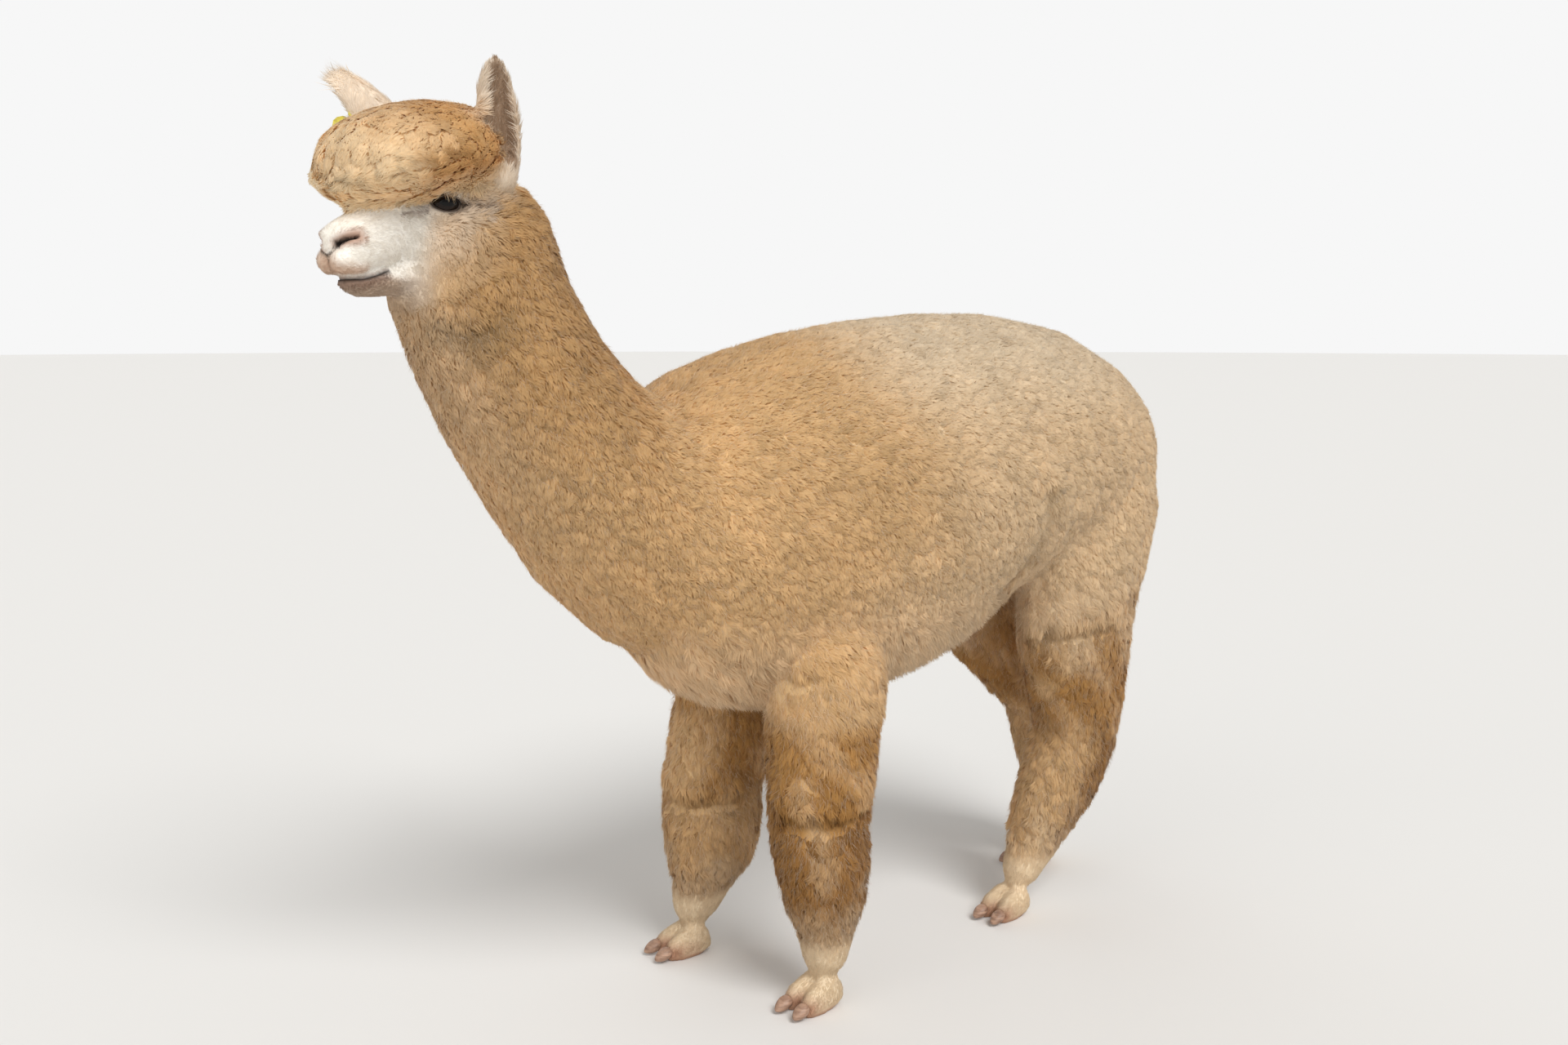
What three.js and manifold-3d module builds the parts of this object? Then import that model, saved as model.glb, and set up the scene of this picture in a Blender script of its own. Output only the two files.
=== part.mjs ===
// A standing huacaya alpaca in full fleece, life size, one solid for each named part of the body.
// Millimetres, +Z up. The head is towards -Y and the animal's left side is at +X.
// While it is built, y = 0 is near the line through the forefeet. At the end the origin moves to the middle
// of the whole animal's outline, on the ground.
import * as THREE from "three";
import { mergeVertices } from "three/addons/utils/BufferGeometryUtils.js";
import Module from "manifold-3d";

const wasm = await Module();
wasm.setup();

// ---- driving dimensions ----
const gap = 0.4; // clear cut between neighbouring parts
const weld = 0.01; // vertices nearer than this are one vertex
const backHeight = 1067; // top of the fleece over the loin
const brisketHeight = 462; // underside of the chest fleece
const flankHeight = 622; // underside of the body between the thighs
const trunkHalfWidth = 250;
const footHeight = 112; // where the leg fleece ends and the bare foot starts
const kneeHeight = 288;
const hockHeight = 350;
const gaskinHeight = 440; // where the thigh gives way to the lower hind leg
const groinTilt = 0.35;
const eyeRadius = 20;
const lidDepth = 4;
const earLength = 150;
const headPlace = new THREE.Vector3(10, -538, 1188); // midway between the eyes
const headTurn = new THREE.Euler(THREE.MathUtils.degToRad(7), 0, THREE.MathUtils.degToRad(13), "ZYX");

const X = new THREE.Vector3(1, 0, 0);
const clamp = THREE.MathUtils.clamp;
const lerp = THREE.MathUtils.lerp;

// ---- finishes ----
const finish = (color, roughness) => new THREE.MeshStandardMaterial({ color, roughness, metalness: 0 });
const fleeceFawn = finish(0xd9b78c, 0.95);
const faceWhite = finish(0xe9dfd0, 0.9);
const footCream = finish(0xe0cfb4, 0.9);
const nailHorn = finish(0x9a7a60, 0.55);
const eyeDark = finish(0x0c0806, 0.08);
const tagYellow = finish(0xc8b820, 0.45);

// ---- shaping tools ----

// Rounds a loft off towards both ends; `ends` gives the share of the length that each rounding takes.
function endRounding(t, ends) {
  const nearStart = clamp(1 - t / ends[0], 0, 1);
  const nearEnd = clamp(1 - (1 - t) / ends[1], 0, 1);
  return Math.sqrt(1 - nearStart ** 2) * Math.sqrt(1 - nearEnd ** 2);
}

// A superellipse coordinate: a power of 2 is an ellipse, more is squarer.
function squared(value, power) {
  return Math.sign(value) * Math.abs(value) ** (2 / power);
}

// A closed body along a smooth axis. Each station gives the axis point `at`, the half width, and the reach to
// the two other sides: `up` is the back of a trunk or neck and the front of a leg, `down` is the other side.
function loft(stations, { around = 20, along = 16, ends = [0.12, 0.12], power = 2, grow = 0 } = {}) {
  const axis = new THREE.CatmullRomCurve3(stations.map((s) => new THREE.Vector3(...s.at)));
  const sizes = stations.map((s) => new THREE.Vector3(s.wide, s.up, s.down));
  const reach = new THREE.CatmullRomCurve3(sizes, false, "catmullrom", 0.4);
  const geometry = new THREE.SphereGeometry(1, around, along);
  const position = geometry.getAttribute("position");
  const vertex = new THREE.Vector3();
  for (let i = 0; i < position.count; i++) {
    vertex.fromBufferAttribute(position, i);
    const t = clamp((1 - vertex.y) / 2, 0, 1);
    const angle = Math.atan2(vertex.z, vertex.x);
    const centre = axis.getPoint(t);
    const tangent = axis.getTangent(t);
    const side = X.clone().addScaledVector(tangent, -X.dot(tangent)).normalize();
    const back = tangent.clone().cross(side);
    const size = reach.getPoint(t);
    const round = endRounding(t, ends);
    const sideways = squared(Math.cos(angle), power) * (size.x + grow) * round;
    const upright = squared(Math.sin(angle), power);
    const height = upright * ((upright > 0 ? size.y : size.z) + grow) * round;
    centre.addScaledVector(side, sideways).addScaledVector(back, height);
    position.setXYZ(i, centre.x, centre.y, centre.z);
  }
  return geometry;
}

// An ellipsoid at a place, with half sizes along X, Y and Z before it is turned.
function blob(place, halfSizes, { turn = [0, 0, 0], around = 16, along = 10 } = {}) {
  const turned = new THREE.Quaternion().setFromEuler(new THREE.Euler(...turn, "ZYX"));
  const [centre, scale] = [place, halfSizes].map((numbers) => new THREE.Vector3(...numbers));
  const matrix = new THREE.Matrix4().compose(centre, turned, scale);
  return new THREE.SphereGeometry(1, around, along).applyMatrix4(matrix);
}

// A box used as a region of space, tilted about X round its own centre.
function region(centre, size, tilt = 0, grow = 0) {
  return new THREE.BoxGeometry(size[0] + 2 * grow, size[1] + 2 * grow, size[2] + 2 * grow)
    .rotateX(tilt)
    .translate(...centre);
}

function solidOf(geometry) {
  const bare = geometry.clone();
  bare.deleteAttribute("normal");
  bare.deleteAttribute("uv");
  const welded = mergeVertices(bare, weld);
  const mesh = new wasm.Mesh({
    numProp: 3,
    vertProperties: new Float32Array(welded.attributes.position.array),
    triVerts: new Uint32Array(welded.index.array),
  });
  return new wasm.Manifold(mesh);
}

function joined(...geometries) {
  return geometries.map(solidOf).reduce((whole, next) => whole.add(next));
}

function geometryOf(solid) {
  const mesh = solid.getMesh();
  const geometry = new THREE.BufferGeometry();
  geometry.setAttribute("position", new THREE.BufferAttribute(new Float32Array(mesh.vertProperties), 3));
  geometry.setIndex(new THREE.BufferAttribute(new Uint32Array(mesh.triVerts), 1));
  geometry.computeVertexNormals();
  return geometry;
}

const alpaca = new THREE.Group();

function addPart(name, solid, material) {
  const mesh = new THREE.Mesh(geometryOf(solid), material);
  mesh.name = name;
  alpaca.add(mesh);
}

// ---- trunk, neck and tail ----

function trunk() {
  const stations = [
    { at: [0, 798, 790], wide: 142, up: 118, down: 120 },
    { at: [0, 708, 804], wide: 206, up: 188, down: 804 - flankHeight },
    { at: [0, 560, 812], wide: 236, up: 244, down: 812 - flankHeight + 6 },
    { at: [0, 380, 800], wide: trunkHalfWidth, up: backHeight - 800, down: 246 },
    { at: [0, 190, 770], wide: 240, up: 282, down: 284 },
    { at: [0, 20, 745], wide: 216, up: 278, down: 745 - brisketHeight },
    { at: [0, -150, 732], wide: 188, up: 240, down: 240 },
    { at: [0, -285, 725], wide: 134, up: 160, down: 140 },
  ];
  return loft(stations, { around: 20, along: 15, ends: [0.12, 0.12] });
}

function neck() {
  const stations = [
    { at: [0, -40, 670], wide: 182, up: 150, down: 200 },
    { at: [0, -216, 784], wide: 162, up: 142, down: 190 },
    { at: [0, -350, 910], wide: 132, up: 122, down: 150 },
    { at: [2, -436, 1030], wide: 110, up: 124, down: 128 },
    { at: [4, -480, 1130], wide: 98, up: 130, down: 112 },
    { at: [8, -498, 1248], wide: 84, up: 118, down: 70 },
  ];
  return loft(stations, { around: 16, along: 12, ends: [0.1, 0.14] });
}

function tail() {
  const stations = [
    { at: [0, 764, 905], wide: 40, up: 34, down: 34 },
    { at: [0, 808, 850], wide: 50, up: 36, down: 36 },
    { at: [0, 826, 760], wide: 48, up: 34, down: 34 },
    { at: [0, 816, 672], wide: 30, up: 22, down: 22 },
  ];
  return loft(stations, { around: 8, along: 7, ends: [0.2, 0.25] });
}

// ---- legs ----

// A station of a leg's column, a share of the way from the foot to the top of the leg.
function between(foot, top, share, height, ahead = 0) {
  return [lerp(foot[0], top[0], share), lerp(foot[1], top[1], share) - ahead, height];
}

// Foreleg: a straight woolly column with a slight fold under the knee, narrowing to the bare pastern.
function foreleg({ foot, top, shag }) {
  const stations = [
    { at: between(foot, top, 1, 640), wide: 95, up: 105, down: 110 },
    { at: between(foot, top, 0.82, 470), wide: 90, up: 94, down: 100 },
    { at: between(foot, top, 0.64, 370, 2), wide: 87, up: 90, down: 94 },
    { at: between(foot, top, 0.46, kneeHeight, 4), wide: 80, up: 84, down: 84 + shag / 2 },
    { at: between(foot, top, 0.32, 225), wide: 76, up: 77, down: 84 + shag },
    { at: between(foot, top, 0.18, 155, -4), wide: 62, up: 60, down: 78 + shag },
    { at: between(foot, top, 0, 96, -10), wide: 40, up: 38, down: 46 + shag / 2 },
    { at: between(foot, top, 0, 40, -4), wide: 30, up: 30, down: 34 },
  ];
  return loft(stations, { around: 12, along: 11, ends: [0.08, 0.1] });
}

// Hind leg: hip, thigh, gaskin, hock and cannon, ending in the bare pastern.
function hindleg({ foot, hip, stifle, hock, shag }) {
  const fetlock = [foot[0], foot[1] + 38];
  const thigh = (share) => [lerp(stifle[0], hock[0], share), lerp(stifle[1], hock[1], share)];
  const shank = (share) => [lerp(hock[0], fetlock[0], share), lerp(hock[1], fetlock[1], share)];
  const stations = [
    { at: [...hip, 840], wide: 95, up: 110, down: 110 },
    { at: [hip[0] + 6, hip[1] - 10, 740], wide: 104, up: 150, down: 132 },
    { at: [...stifle, 600], wide: 94, up: 150, down: 120 },
    { at: [...thigh(0.55), 470], wide: 84, up: 138, down: 92 },
    { at: [...hock, hockHeight], wide: 74, up: 104, down: 82 + shag / 2 },
    { at: [...shank(0.34), 262], wide: 66, up: 80, down: 84 + shag },
    { at: [...shank(0.76), 178], wide: 56, up: 58, down: 72 + shag },
    { at: [...fetlock, 104], wide: 38, up: 42, down: 46 + shag / 2 },
    { at: [foot[0], foot[1] + 8, 40], wide: 30, up: 32, down: 36 },
  ];
  return loft(stations, { around: 12, along: 13, ends: [0.08, 0.1] });
}

// Two toes side by side on soft pads, in the foot's own frame: pastern over the origin, tips towards -Y.
function toe(side) {
  const stations = [
    { at: [side * 10, 30, 34], wide: 20, up: 24, down: 35 },
    { at: [side * 15, 4, 26], wide: 20.5, up: 28, down: 28 },
    { at: [side * 18, -32, 18], wide: 18, up: 22, down: 21 },
    { at: [side * 19, -62, 12], wide: 13, up: 13, down: 14 },
  ];
  return loft(stations, { around: 8, along: 5, ends: [0.2, 0.3], power: 2.4 });
}

function nail(side, grow = 0) {
  const stations = [
    { at: [side * 18.5, -44, 20], wide: 12, up: 11, down: 11 },
    { at: [side * 19, -60, 13.5], wide: 11.5, up: 10, down: 11 },
    { at: [side * 19.5, -75, 7], wide: 5.5, up: 4.5, down: 5 },
  ];
  return loft(stations, { around: 6, along: 5, ends: [0.3, 0.35], grow });
}

const toeOut = 0.1;
const stance = {
  foreleg_left: { foot: [130, 20], top: [118, 34], shag: 0 },
  foreleg_right: { foot: [-158, -26], top: [-118, 50], shag: 28 },
  hindleg_left: { foot: [62, 515], hip: [118, 650], stifle: [128, 612], hock: [90, 655], shag: 26 },
  hindleg_right: { foot: [-88, 748], hip: [-118, 672], stifle: [-128, 622], hock: [-104, 775], shag: 16 },
};

function onFoot(geometry, { foot }) {
  return geometry.rotateZ(Math.sign(foot[0]) * toeOut).translate(foot[0], foot[1], 0);
}

// ---- head, in its own frame: midway between the eyes, nose towards -Y ----

function skull() {
  const stations = [
    { at: [0, 92, -4], wide: 66, up: 60, down: 84 },
    { at: [0, 40, -2], wide: 68, up: 62, down: 88 },
    { at: [0, -8, -4], wide: 60, up: 52, down: 84 },
    { at: [0, -52, -13], wide: 46, up: 42, down: 62 },
    { at: [0, -90, -26], wide: 38, up: 36, down: 46 },
    { at: [0, -122, -36], wide: 37, up: 34, down: 42 },
    { at: [0, -152, -46], wide: 35, up: 26, down: 39 },
  ];
  return loft(stations, { around: 16, along: 13, ends: [0.12, 0.14], power: 2.2 });
}

function jaw() {
  const stations = [
    { at: [0, 20, -78], wide: 48, up: 30, down: 34 },
    { at: [0, -46, -80], wide: 36, up: 22, down: 25 },
    { at: [0, -94, -82], wide: 28, up: 18, down: 20 },
    { at: [0, -138, -84], wide: 24, up: 15, down: 15 },
  ];
  return loft(stations, { around: 12, along: 8, ends: [0.2, 0.22] });
}

// The upper lip swells out on each side of its cleft.
function lip(side) {
  return blob([side * 15, -128, -51], [20, 30, 18], { around: 8, along: 5 });
}

function cheek(side) {
  return blob([side * 44, 50, -46], [54, 66, 78], { turn: [0.25, 0, side * 0.2], around: 10, along: 6 });
}

function topknot(grow = 0) {
  const stations = [
    { at: [0, 108, 54], wide: 90, up: 54, down: 60 },
    { at: [0, 50, 66], wide: 116, up: 66, down: 58 },
    { at: [0, -10, 68], wide: 124, up: 68, down: 56 },
    { at: [0, -68, 58], wide: 114, up: 62, down: 56 },
    { at: [0, -124, 24], wide: 84, up: 50, down: 50 },
  ];
  return loft(stations, { around: 15, along: 9, ends: [0.3, 0.26], grow });
}

function nostril(side) {
  return blob([side * 22, -142, -38], [5, 15, 7], { turn: [-0.5, 0, side * 0.75], around: 6, along: 5 });
}

function lipCleft() {
  return blob([0, -168, -66], [2.2, 10, 14], { around: 6, along: 5 });
}

// The eyeball looks out sideways and a little forwards; its lids leave a slanting oval open.
function eyePlace(side) {
  return [side * 48, -4, 6];
}

const eyeball = (side, grow = 0) =>
  blob(eyePlace(side), Array(3).fill(eyeRadius + grow), { around: 12, along: 8 });

const lids = (side) => eyeball(side, lidDepth);

function eyeOpening(side) {
  const [x, y, z] = eyePlace(side);
  const shape = { turn: [0.18, 0, side * -0.45], around: 10, along: 6 };
  return blob([x + side * 17, y - 9, z], [10, 23, 12.5], shape);
}

// ---- ears, each in its own frame: rising along +Z with the open side towards -Y ----

function earLeaf(grow = 0) {
  const stations = [
    { at: [0, 0, -26], wide: 19, up: 15, down: 16 },
    { at: [0, 2, earLength * 0.2], wide: 29, up: 17, down: 17 },
    { at: [0, 4, earLength * 0.48], wide: 33, up: 15, down: 15 },
    { at: [0, 2, earLength * 0.78], wide: 24.5, up: 11, down: 10 },
    { at: [0, -6, earLength], wide: 10, up: 6, down: 6 },
  ];
  return loft(stations, { around: 12, along: 8, ends: [0.1, 0.22], grow });
}

function earHollow() {
  const stations = [
    { at: [0, -12, 12], wide: 12, up: 12, down: 9 },
    { at: [0, -12, earLength * 0.24], wide: 21, up: 18, down: 13 },
    { at: [0, -12, earLength * 0.5], wide: 25, up: 18, down: 12 },
    { at: [0, -11, earLength * 0.78], wide: 16, up: 10, down: 9 },
    { at: [0, -12, earLength * 0.93], wide: 6, up: 5, down: 4 },
  ];
  return loft(stations, { around: 8, along: 6, ends: [0.2, 0.25] });
}

const ears = {
  left: { place: [86, 64, 34], points: [0.16, -0.1, 1], opens: [1, -0.25, 0] },
  right: { place: [-80, 46, 72], points: [-0.6, -0.18, 0.78], opens: [-0.7, 0.35, -0.6] },
};

// The head's frame in the animal's, and an ear's frame in the animal's.
const headMatrix = new THREE.Matrix4().compose(
  headPlace,
  new THREE.Quaternion().setFromEuler(headTurn),
  new THREE.Vector3(1, 1, 1),
);

function earMatrix({ place, points, opens }) {
  const upwards = new THREE.Vector3(...points).normalize();
  const open = new THREE.Vector3(...opens);
  const backwards = open.addScaledVector(upwards, -open.dot(upwards)).normalize().negate();
  const across = backwards.clone().cross(upwards);
  const local = new THREE.Matrix4().makeBasis(across, backwards, upwards).setPosition(...place);
  return headMatrix.clone().multiply(local);
}

// Round tag hanging from its stud, with the button behind, riveted through the rim of the right ear.
function tag(grow = 0) {
  const disc = (radius, thickness, x, y) =>
    new THREE.CylinderGeometry(radius + grow, radius + grow, thickness + 2 * grow, 12).translate(x, y, 80);
  return joined(disc(15, 3, 38, -13), disc(3, 20, 25, -4), disc(7, 3, 25, 5));
}

// ---- putting the animal together and parting it ----

const inHead = (geometry) => geometry.applyMatrix4(headMatrix);

const limbs = Object.entries(stance).map(([name, place]) => {
  const isFore = name.startsWith("foreleg");
  return { name, place, isFore, column: isFore ? foreleg(place) : hindleg(place) };
});

const ground = region([0, 300, -200], [2000, 3000, 400]);
const toes = limbs.flatMap(({ place }) => [-1, 1].map((side) => onFoot(toe(side), place)));
const columns = limbs.map((limb) => limb.column);
const body = joined(trunk(), neck(), tail(), ...columns, ...toes).subtract(solidOf(ground));

const headShapes = [skull(), jaw(), ...[-1, 1].flatMap((side) => [lip(side), cheek(side), lids(side)])];
let flesh = body.add(joined(...headShapes.map(inHead))).subtract(solidOf(inHead(topknot(gap))));
let knot = solidOf(inHead(topknot()));

// Hollows of the face: sockets, the openings between the lids, nostrils and the cleft of the upper lip.
const hollows = [-1, 1].flatMap((side) => [eyeball(side, gap), eyeOpening(side), nostril(side)]);
for (const hollow of [...hollows, lipCleft()].map((shape) => solidOf(inHead(shape)))) {
  flesh = flesh.subtract(hollow);
  knot = knot.subtract(hollow);
}

// Takes the flesh inside a region out as one named part, and leaves a thin cut round it.
function takePart(name, material, regionOf) {
  addPart(name, flesh.intersect(solidOf(regionOf(-gap / 2))), material);
  flesh = flesh.subtract(solidOf(regionOf(gap / 2)));
}

// Cuts room for a solid out of the head and its topknot.
function makeRoom(solid) {
  knot = knot.subtract(solid);
  flesh = flesh.subtract(solid);
}

const inEar = (solid, side) => solidOf(geometryOf(solid).applyMatrix4(earMatrix(ears[side])));
for (const side of Object.keys(ears)) {
  makeRoom(inEar(solidOf(earLeaf(gap)), side));
  const leaf = solidOf(earLeaf()).subtract(solidOf(earHollow()));
  addPart(`ear_${side}`, inEar(side === "right" ? leaf.subtract(tag(gap)) : leaf, side), fleeceFawn);
}
makeRoom(inEar(tag(gap), "right"));
addPart("ear_tag", inEar(tag(), "right"), tagYellow);
addPart("topknot", knot, fleeceFawn);
addPart("eye_left", solidOf(inHead(eyeball(1))), eyeDark);
addPart("eye_right", solidOf(inHead(eyeball(-1))), eyeDark);

// Nails stand at the toe tips, and the toes are cut away round them.
for (const { name, place } of limbs) {
  for (const [side, label] of [[-1, "a"], [1, "b"]]) {
    flesh = flesh.subtract(solidOf(onFoot(nail(side, gap), place)));
    addPart(`nail_${name}_${label}`, solidOf(onFoot(nail(side), place)), nailHorn);
  }
}

const muzzleBack = -74; // in the head's frame
const lipLine = -68;
const faceBox = [160, 200, 160];
const upperFace = [0, muzzleBack - faceBox[1] / 2, lipLine + faceBox[2] / 2];
const lowerFace = [0, muzzleBack - faceBox[1] / 2, lipLine - faceBox[2] / 2];
takePart("muzzle", faceWhite, (grow) => inHead(region(upperFace, faceBox, 0, grow)));
takePart("chin", faceWhite, (grow) => inHead(region(lowerFace, faceBox, 0, grow)));
takePart("head", faceWhite, (grow) => region([0, -760, 1412], [800, 1000, 800], 0.52, grow));
takePart("tail", fleeceFawn, (grow) => region([0, 900, 780], [150, 200, 330], 0, grow));
takePart("neck", fleeceFawn, (grow) => region([0, -652, 900], [800, 800, 1200], 0.08, grow));

// Each leg is cut off under three planes, from the ground up; the top plane of a hind leg follows the groin.
const legBox = [400, 600, 700];
for (const { name, place, isFore } of limbs) {
  const levels = [
    { level: "foot", top: footHeight, tilt: 0 },
    { level: "lower", top: isFore ? kneeHeight - 30 : gaskinHeight, tilt: 0 },
    { level: "upper", top: isFore ? brisketHeight : flankHeight, tilt: isFore ? 0 : groinTilt },
  ];
  for (const { level, top, tilt } of levels) {
    const below = new THREE.Vector3(0, 0, -legBox[2] / 2).applyAxisAngle(X, tilt);
    const side = Math.sign(place.foot[0]);
    const middle = new THREE.Vector3(side * (legBox[0] / 2 + 1), isFore ? 20 : 700, top).add(below);
    const material = level === "foot" ? footCream : fleeceFawn;
    takePart(`${name}_${level}`, material, (grow) => region(middle.toArray(), legBox, tilt, grow));
  }
}
addPart("trunk", flesh, fleeceFawn);

// The origin goes to the middle of the outline.
const extent = new THREE.Box3().setFromObject(alpaca);
const middle = extent.getCenter(new THREE.Vector3());
alpaca.position.set(-middle.x, -middle.y, -extent.min.z);

export default alpaca;
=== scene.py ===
# a standing huacaya alpaca, life size: one skin under a coat of locks, with eyes, nails and an ear tag
import math
import time

import bmesh
import bpy
import numpy as np
from mathutils import Matrix, Vector
from mathutils.bvhtree import BVHTree
from mathutils.kdtree import KDTree


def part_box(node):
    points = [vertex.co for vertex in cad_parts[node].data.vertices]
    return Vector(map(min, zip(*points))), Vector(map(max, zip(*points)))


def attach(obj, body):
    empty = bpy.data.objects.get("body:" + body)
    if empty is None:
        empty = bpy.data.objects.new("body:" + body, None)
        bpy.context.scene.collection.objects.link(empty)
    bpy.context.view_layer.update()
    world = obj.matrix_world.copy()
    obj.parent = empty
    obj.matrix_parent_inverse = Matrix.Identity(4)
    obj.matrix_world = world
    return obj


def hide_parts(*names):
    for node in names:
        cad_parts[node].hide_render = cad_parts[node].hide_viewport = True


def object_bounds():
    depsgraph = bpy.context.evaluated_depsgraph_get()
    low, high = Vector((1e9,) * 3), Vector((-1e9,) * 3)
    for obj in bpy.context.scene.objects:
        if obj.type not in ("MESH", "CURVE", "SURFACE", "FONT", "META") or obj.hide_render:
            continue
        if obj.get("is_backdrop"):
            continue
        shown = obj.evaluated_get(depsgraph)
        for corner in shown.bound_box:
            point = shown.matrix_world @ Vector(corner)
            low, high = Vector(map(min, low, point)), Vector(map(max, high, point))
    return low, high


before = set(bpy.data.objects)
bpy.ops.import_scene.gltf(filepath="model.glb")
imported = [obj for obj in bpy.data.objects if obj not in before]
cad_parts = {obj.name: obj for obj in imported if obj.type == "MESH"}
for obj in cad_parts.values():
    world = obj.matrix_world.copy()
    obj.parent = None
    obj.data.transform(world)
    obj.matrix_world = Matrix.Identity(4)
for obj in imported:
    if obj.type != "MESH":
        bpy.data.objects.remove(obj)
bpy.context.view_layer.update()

started = time.time()


def tell(words):
    print(f"[{time.time() - started:5.1f} s] {words}")


def nodeCentre(name):
    low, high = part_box(name)
    return (low + high) / 2


def smoothStep(low, high, value):
    t = np.clip((value - low) / (high - low), 0, 1)
    return t * t * (3 - 2 * t)


def unit(vectors):
    return vectors / np.maximum(np.linalg.norm(vectors, axis=-1, keepdims=True), 1e-9)


def mix(first, second, share):
    share = np.asarray(share)
    if np.ndim(share) == 1 and np.ndim(first) + np.ndim(second) > 1:
        share = share[:, None]
    return np.asarray(first) * (1 - share) + np.asarray(second) * share


def onLeft(points):
    # the right half laid on the left one
    return np.abs(points) * (1, 0, 0) + points * (0, 1, 1)


def gapTo(points, centre, radii=1):
    # how far each point is from a centre, in radii
    return np.linalg.norm((points - np.array(centre)) / np.array(radii), axis=1)


def ripple(points, size, seed, waves=9):
    # a smooth random field from about -1 to 1, whose lumps are `size` metres across
    rng = np.random.default_rng(seed)
    directions = unit(rng.normal(size=(waves, 3)))
    speeds = math.pi / size * rng.uniform(0.7, 1.3, waves)
    phases = rng.uniform(0, 2 * math.pi, waves)
    total = np.sin(points @ (directions * speeds[:, None]).T + phases).sum(axis=1)
    return total / math.sqrt(waves / 2) / 1.5


def nearLine(points, line):
    # how far each point is from a bent line, and where along it the nearest place is, from 0 to 1
    line = np.asarray(line, dtype=float)
    nearest = np.full(len(points), 9.0)
    along = np.zeros(len(points))
    for i in range(len(line) - 1):
        step = line[i + 1] - line[i]
        t = np.clip((points - line[i]) @ step / (step @ step), 0, 1)
        gap = np.linalg.norm(points - line[i] - t[:, None] * step, axis=1)
        along = np.where(gap < nearest, (i + t) / (len(line) - 1), along)
        nearest = np.minimum(gap, nearest)
    return nearest, along


def readArray(items, key, width=3, kind=float):
    values = np.empty(len(items) * width, dtype=kind)
    items.foreach_get(key, values)
    return values.reshape(-1, width)


def readMesh(mesh):
    return readArray(mesh.vertices, "co")


def readTriangles(mesh):
    mesh.calc_loop_triangles()
    return readArray(mesh.loop_triangles, "vertices", kind=np.int64)


def writeMesh(mesh, points):
    mesh.vertices.foreach_set("co", np.ascontiguousarray(points).reshape(-1))
    mesh.update()


def smoothShaded(mesh):
    mesh.polygons.foreach_set("use_smooth", np.ones(len(mesh.polygons), dtype=bool))


def neighboursOf(mesh, width=6):
    # up to six neighbours of every vertex, short rows filled up with the vertex itself
    edges = readArray(mesh.edges, "vertices", 2, np.int64)
    count = len(mesh.vertices)
    ends = np.concatenate([edges, edges[:, ::-1]])
    ends = ends[np.argsort(ends[:, 0], kind="stable")]
    place = np.arange(len(ends)) - np.searchsorted(ends[:, 0], ends[:, 0])
    table = np.repeat(np.arange(count)[:, None], width, axis=1)
    kept = place < width
    table[ends[kept, 0], place[kept]] = ends[kept, 1]
    filled = np.bincount(ends[kept, 0], minlength=count)
    return table, width / np.maximum(filled, 1)


def spread(values, around, rounds, pull=0.6):
    # evens out a value held by the vertices; pull may differ from vertex to vertex
    table, weight = around
    flat = np.array(values, dtype=np.float32).reshape(len(values), -1)
    share = (np.asarray(pull) * weight).astype(np.float32)[:, None]
    for _ in range(rounds):
        flat = flat + share * (flat[table].mean(axis=1) - flat)
    return flat.astype(float).reshape(np.shape(values))


def treeOf(points):
    tree = KDTree(len(points))
    for index, place in enumerate(points):
        tree.insert(place, index)
    tree.balance()
    return tree


def newObject(name, data):
    piece = bpy.data.objects.new(name, data)
    bpy.context.scene.collection.objects.link(piece)
    return piece


def meshOf(shell, name):
    mesh = bpy.data.meshes.new(name)
    shell.to_mesh(mesh)
    shell.free()
    return mesh


def weldedMesh(node, name):
    # a copy of one of the frame's nodes, its doubled corners joined
    shell = bmesh.new()
    shell.from_mesh(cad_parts[node].data)
    bmesh.ops.remove_doubles(shell, verts=shell.verts, dist=1e-5)
    return meshOf(shell, name)


def applyModifiers(piece):
    made = bpy.data.meshes.new_from_object(piece.evaluated_get(bpy.context.evaluated_depsgraph_get()))
    old = piece.data
    piece.modifiers.clear()
    piece.data = made
    bpy.data.meshes.remove(old)


# the head's own frame: midway between the eyes, nose towards -Y
headPitch = math.radians(7)
eyeCentres = {"left": nodeCentre("eye_left"), "right": nodeCentre("eye_right")}
eyeLow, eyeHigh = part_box("eye_left")
eyeRadius = (eyeHigh.z - eyeLow.z) / 2
acrossHead = (eyeCentres["left"] - eyeCentres["right"]).normalized()
headYaw = math.atan2(acrossHead.y, acrossHead.x)
headTurn = Matrix.Rotation(headYaw, 3, "Z") @ Matrix.Rotation(headPitch, 3, "X")
eyeInHead = Vector((0.048, -0.004, 0.006))
betweenEyes = (eyeCentres["left"] + eyeCentres["right"]) / 2
headPlace = np.array(betweenEyes - headTurn @ Vector((0, eyeInHead.y, eyeInHead.z)))
headAxes = np.array(headTurn).T  # rows: the head's own axes


def toHead(points):
    return (points - headPlace) @ headAxes.T


def fromHead(points):
    return np.asarray(points) @ headAxes + headPlace


def eyeAt(side):
    # in the head's frame, as all that follows about the eyes; side is 1 on the left and -1 on the right
    return np.array(eyeInHead) * (side, 1, 1)


def eyeAxes(side):
    # out of the eye, and along the slit between its lids
    return np.array((0.866 * side, -0.5, 0)), np.array((-0.5 * side, -0.866, 0))


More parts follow.
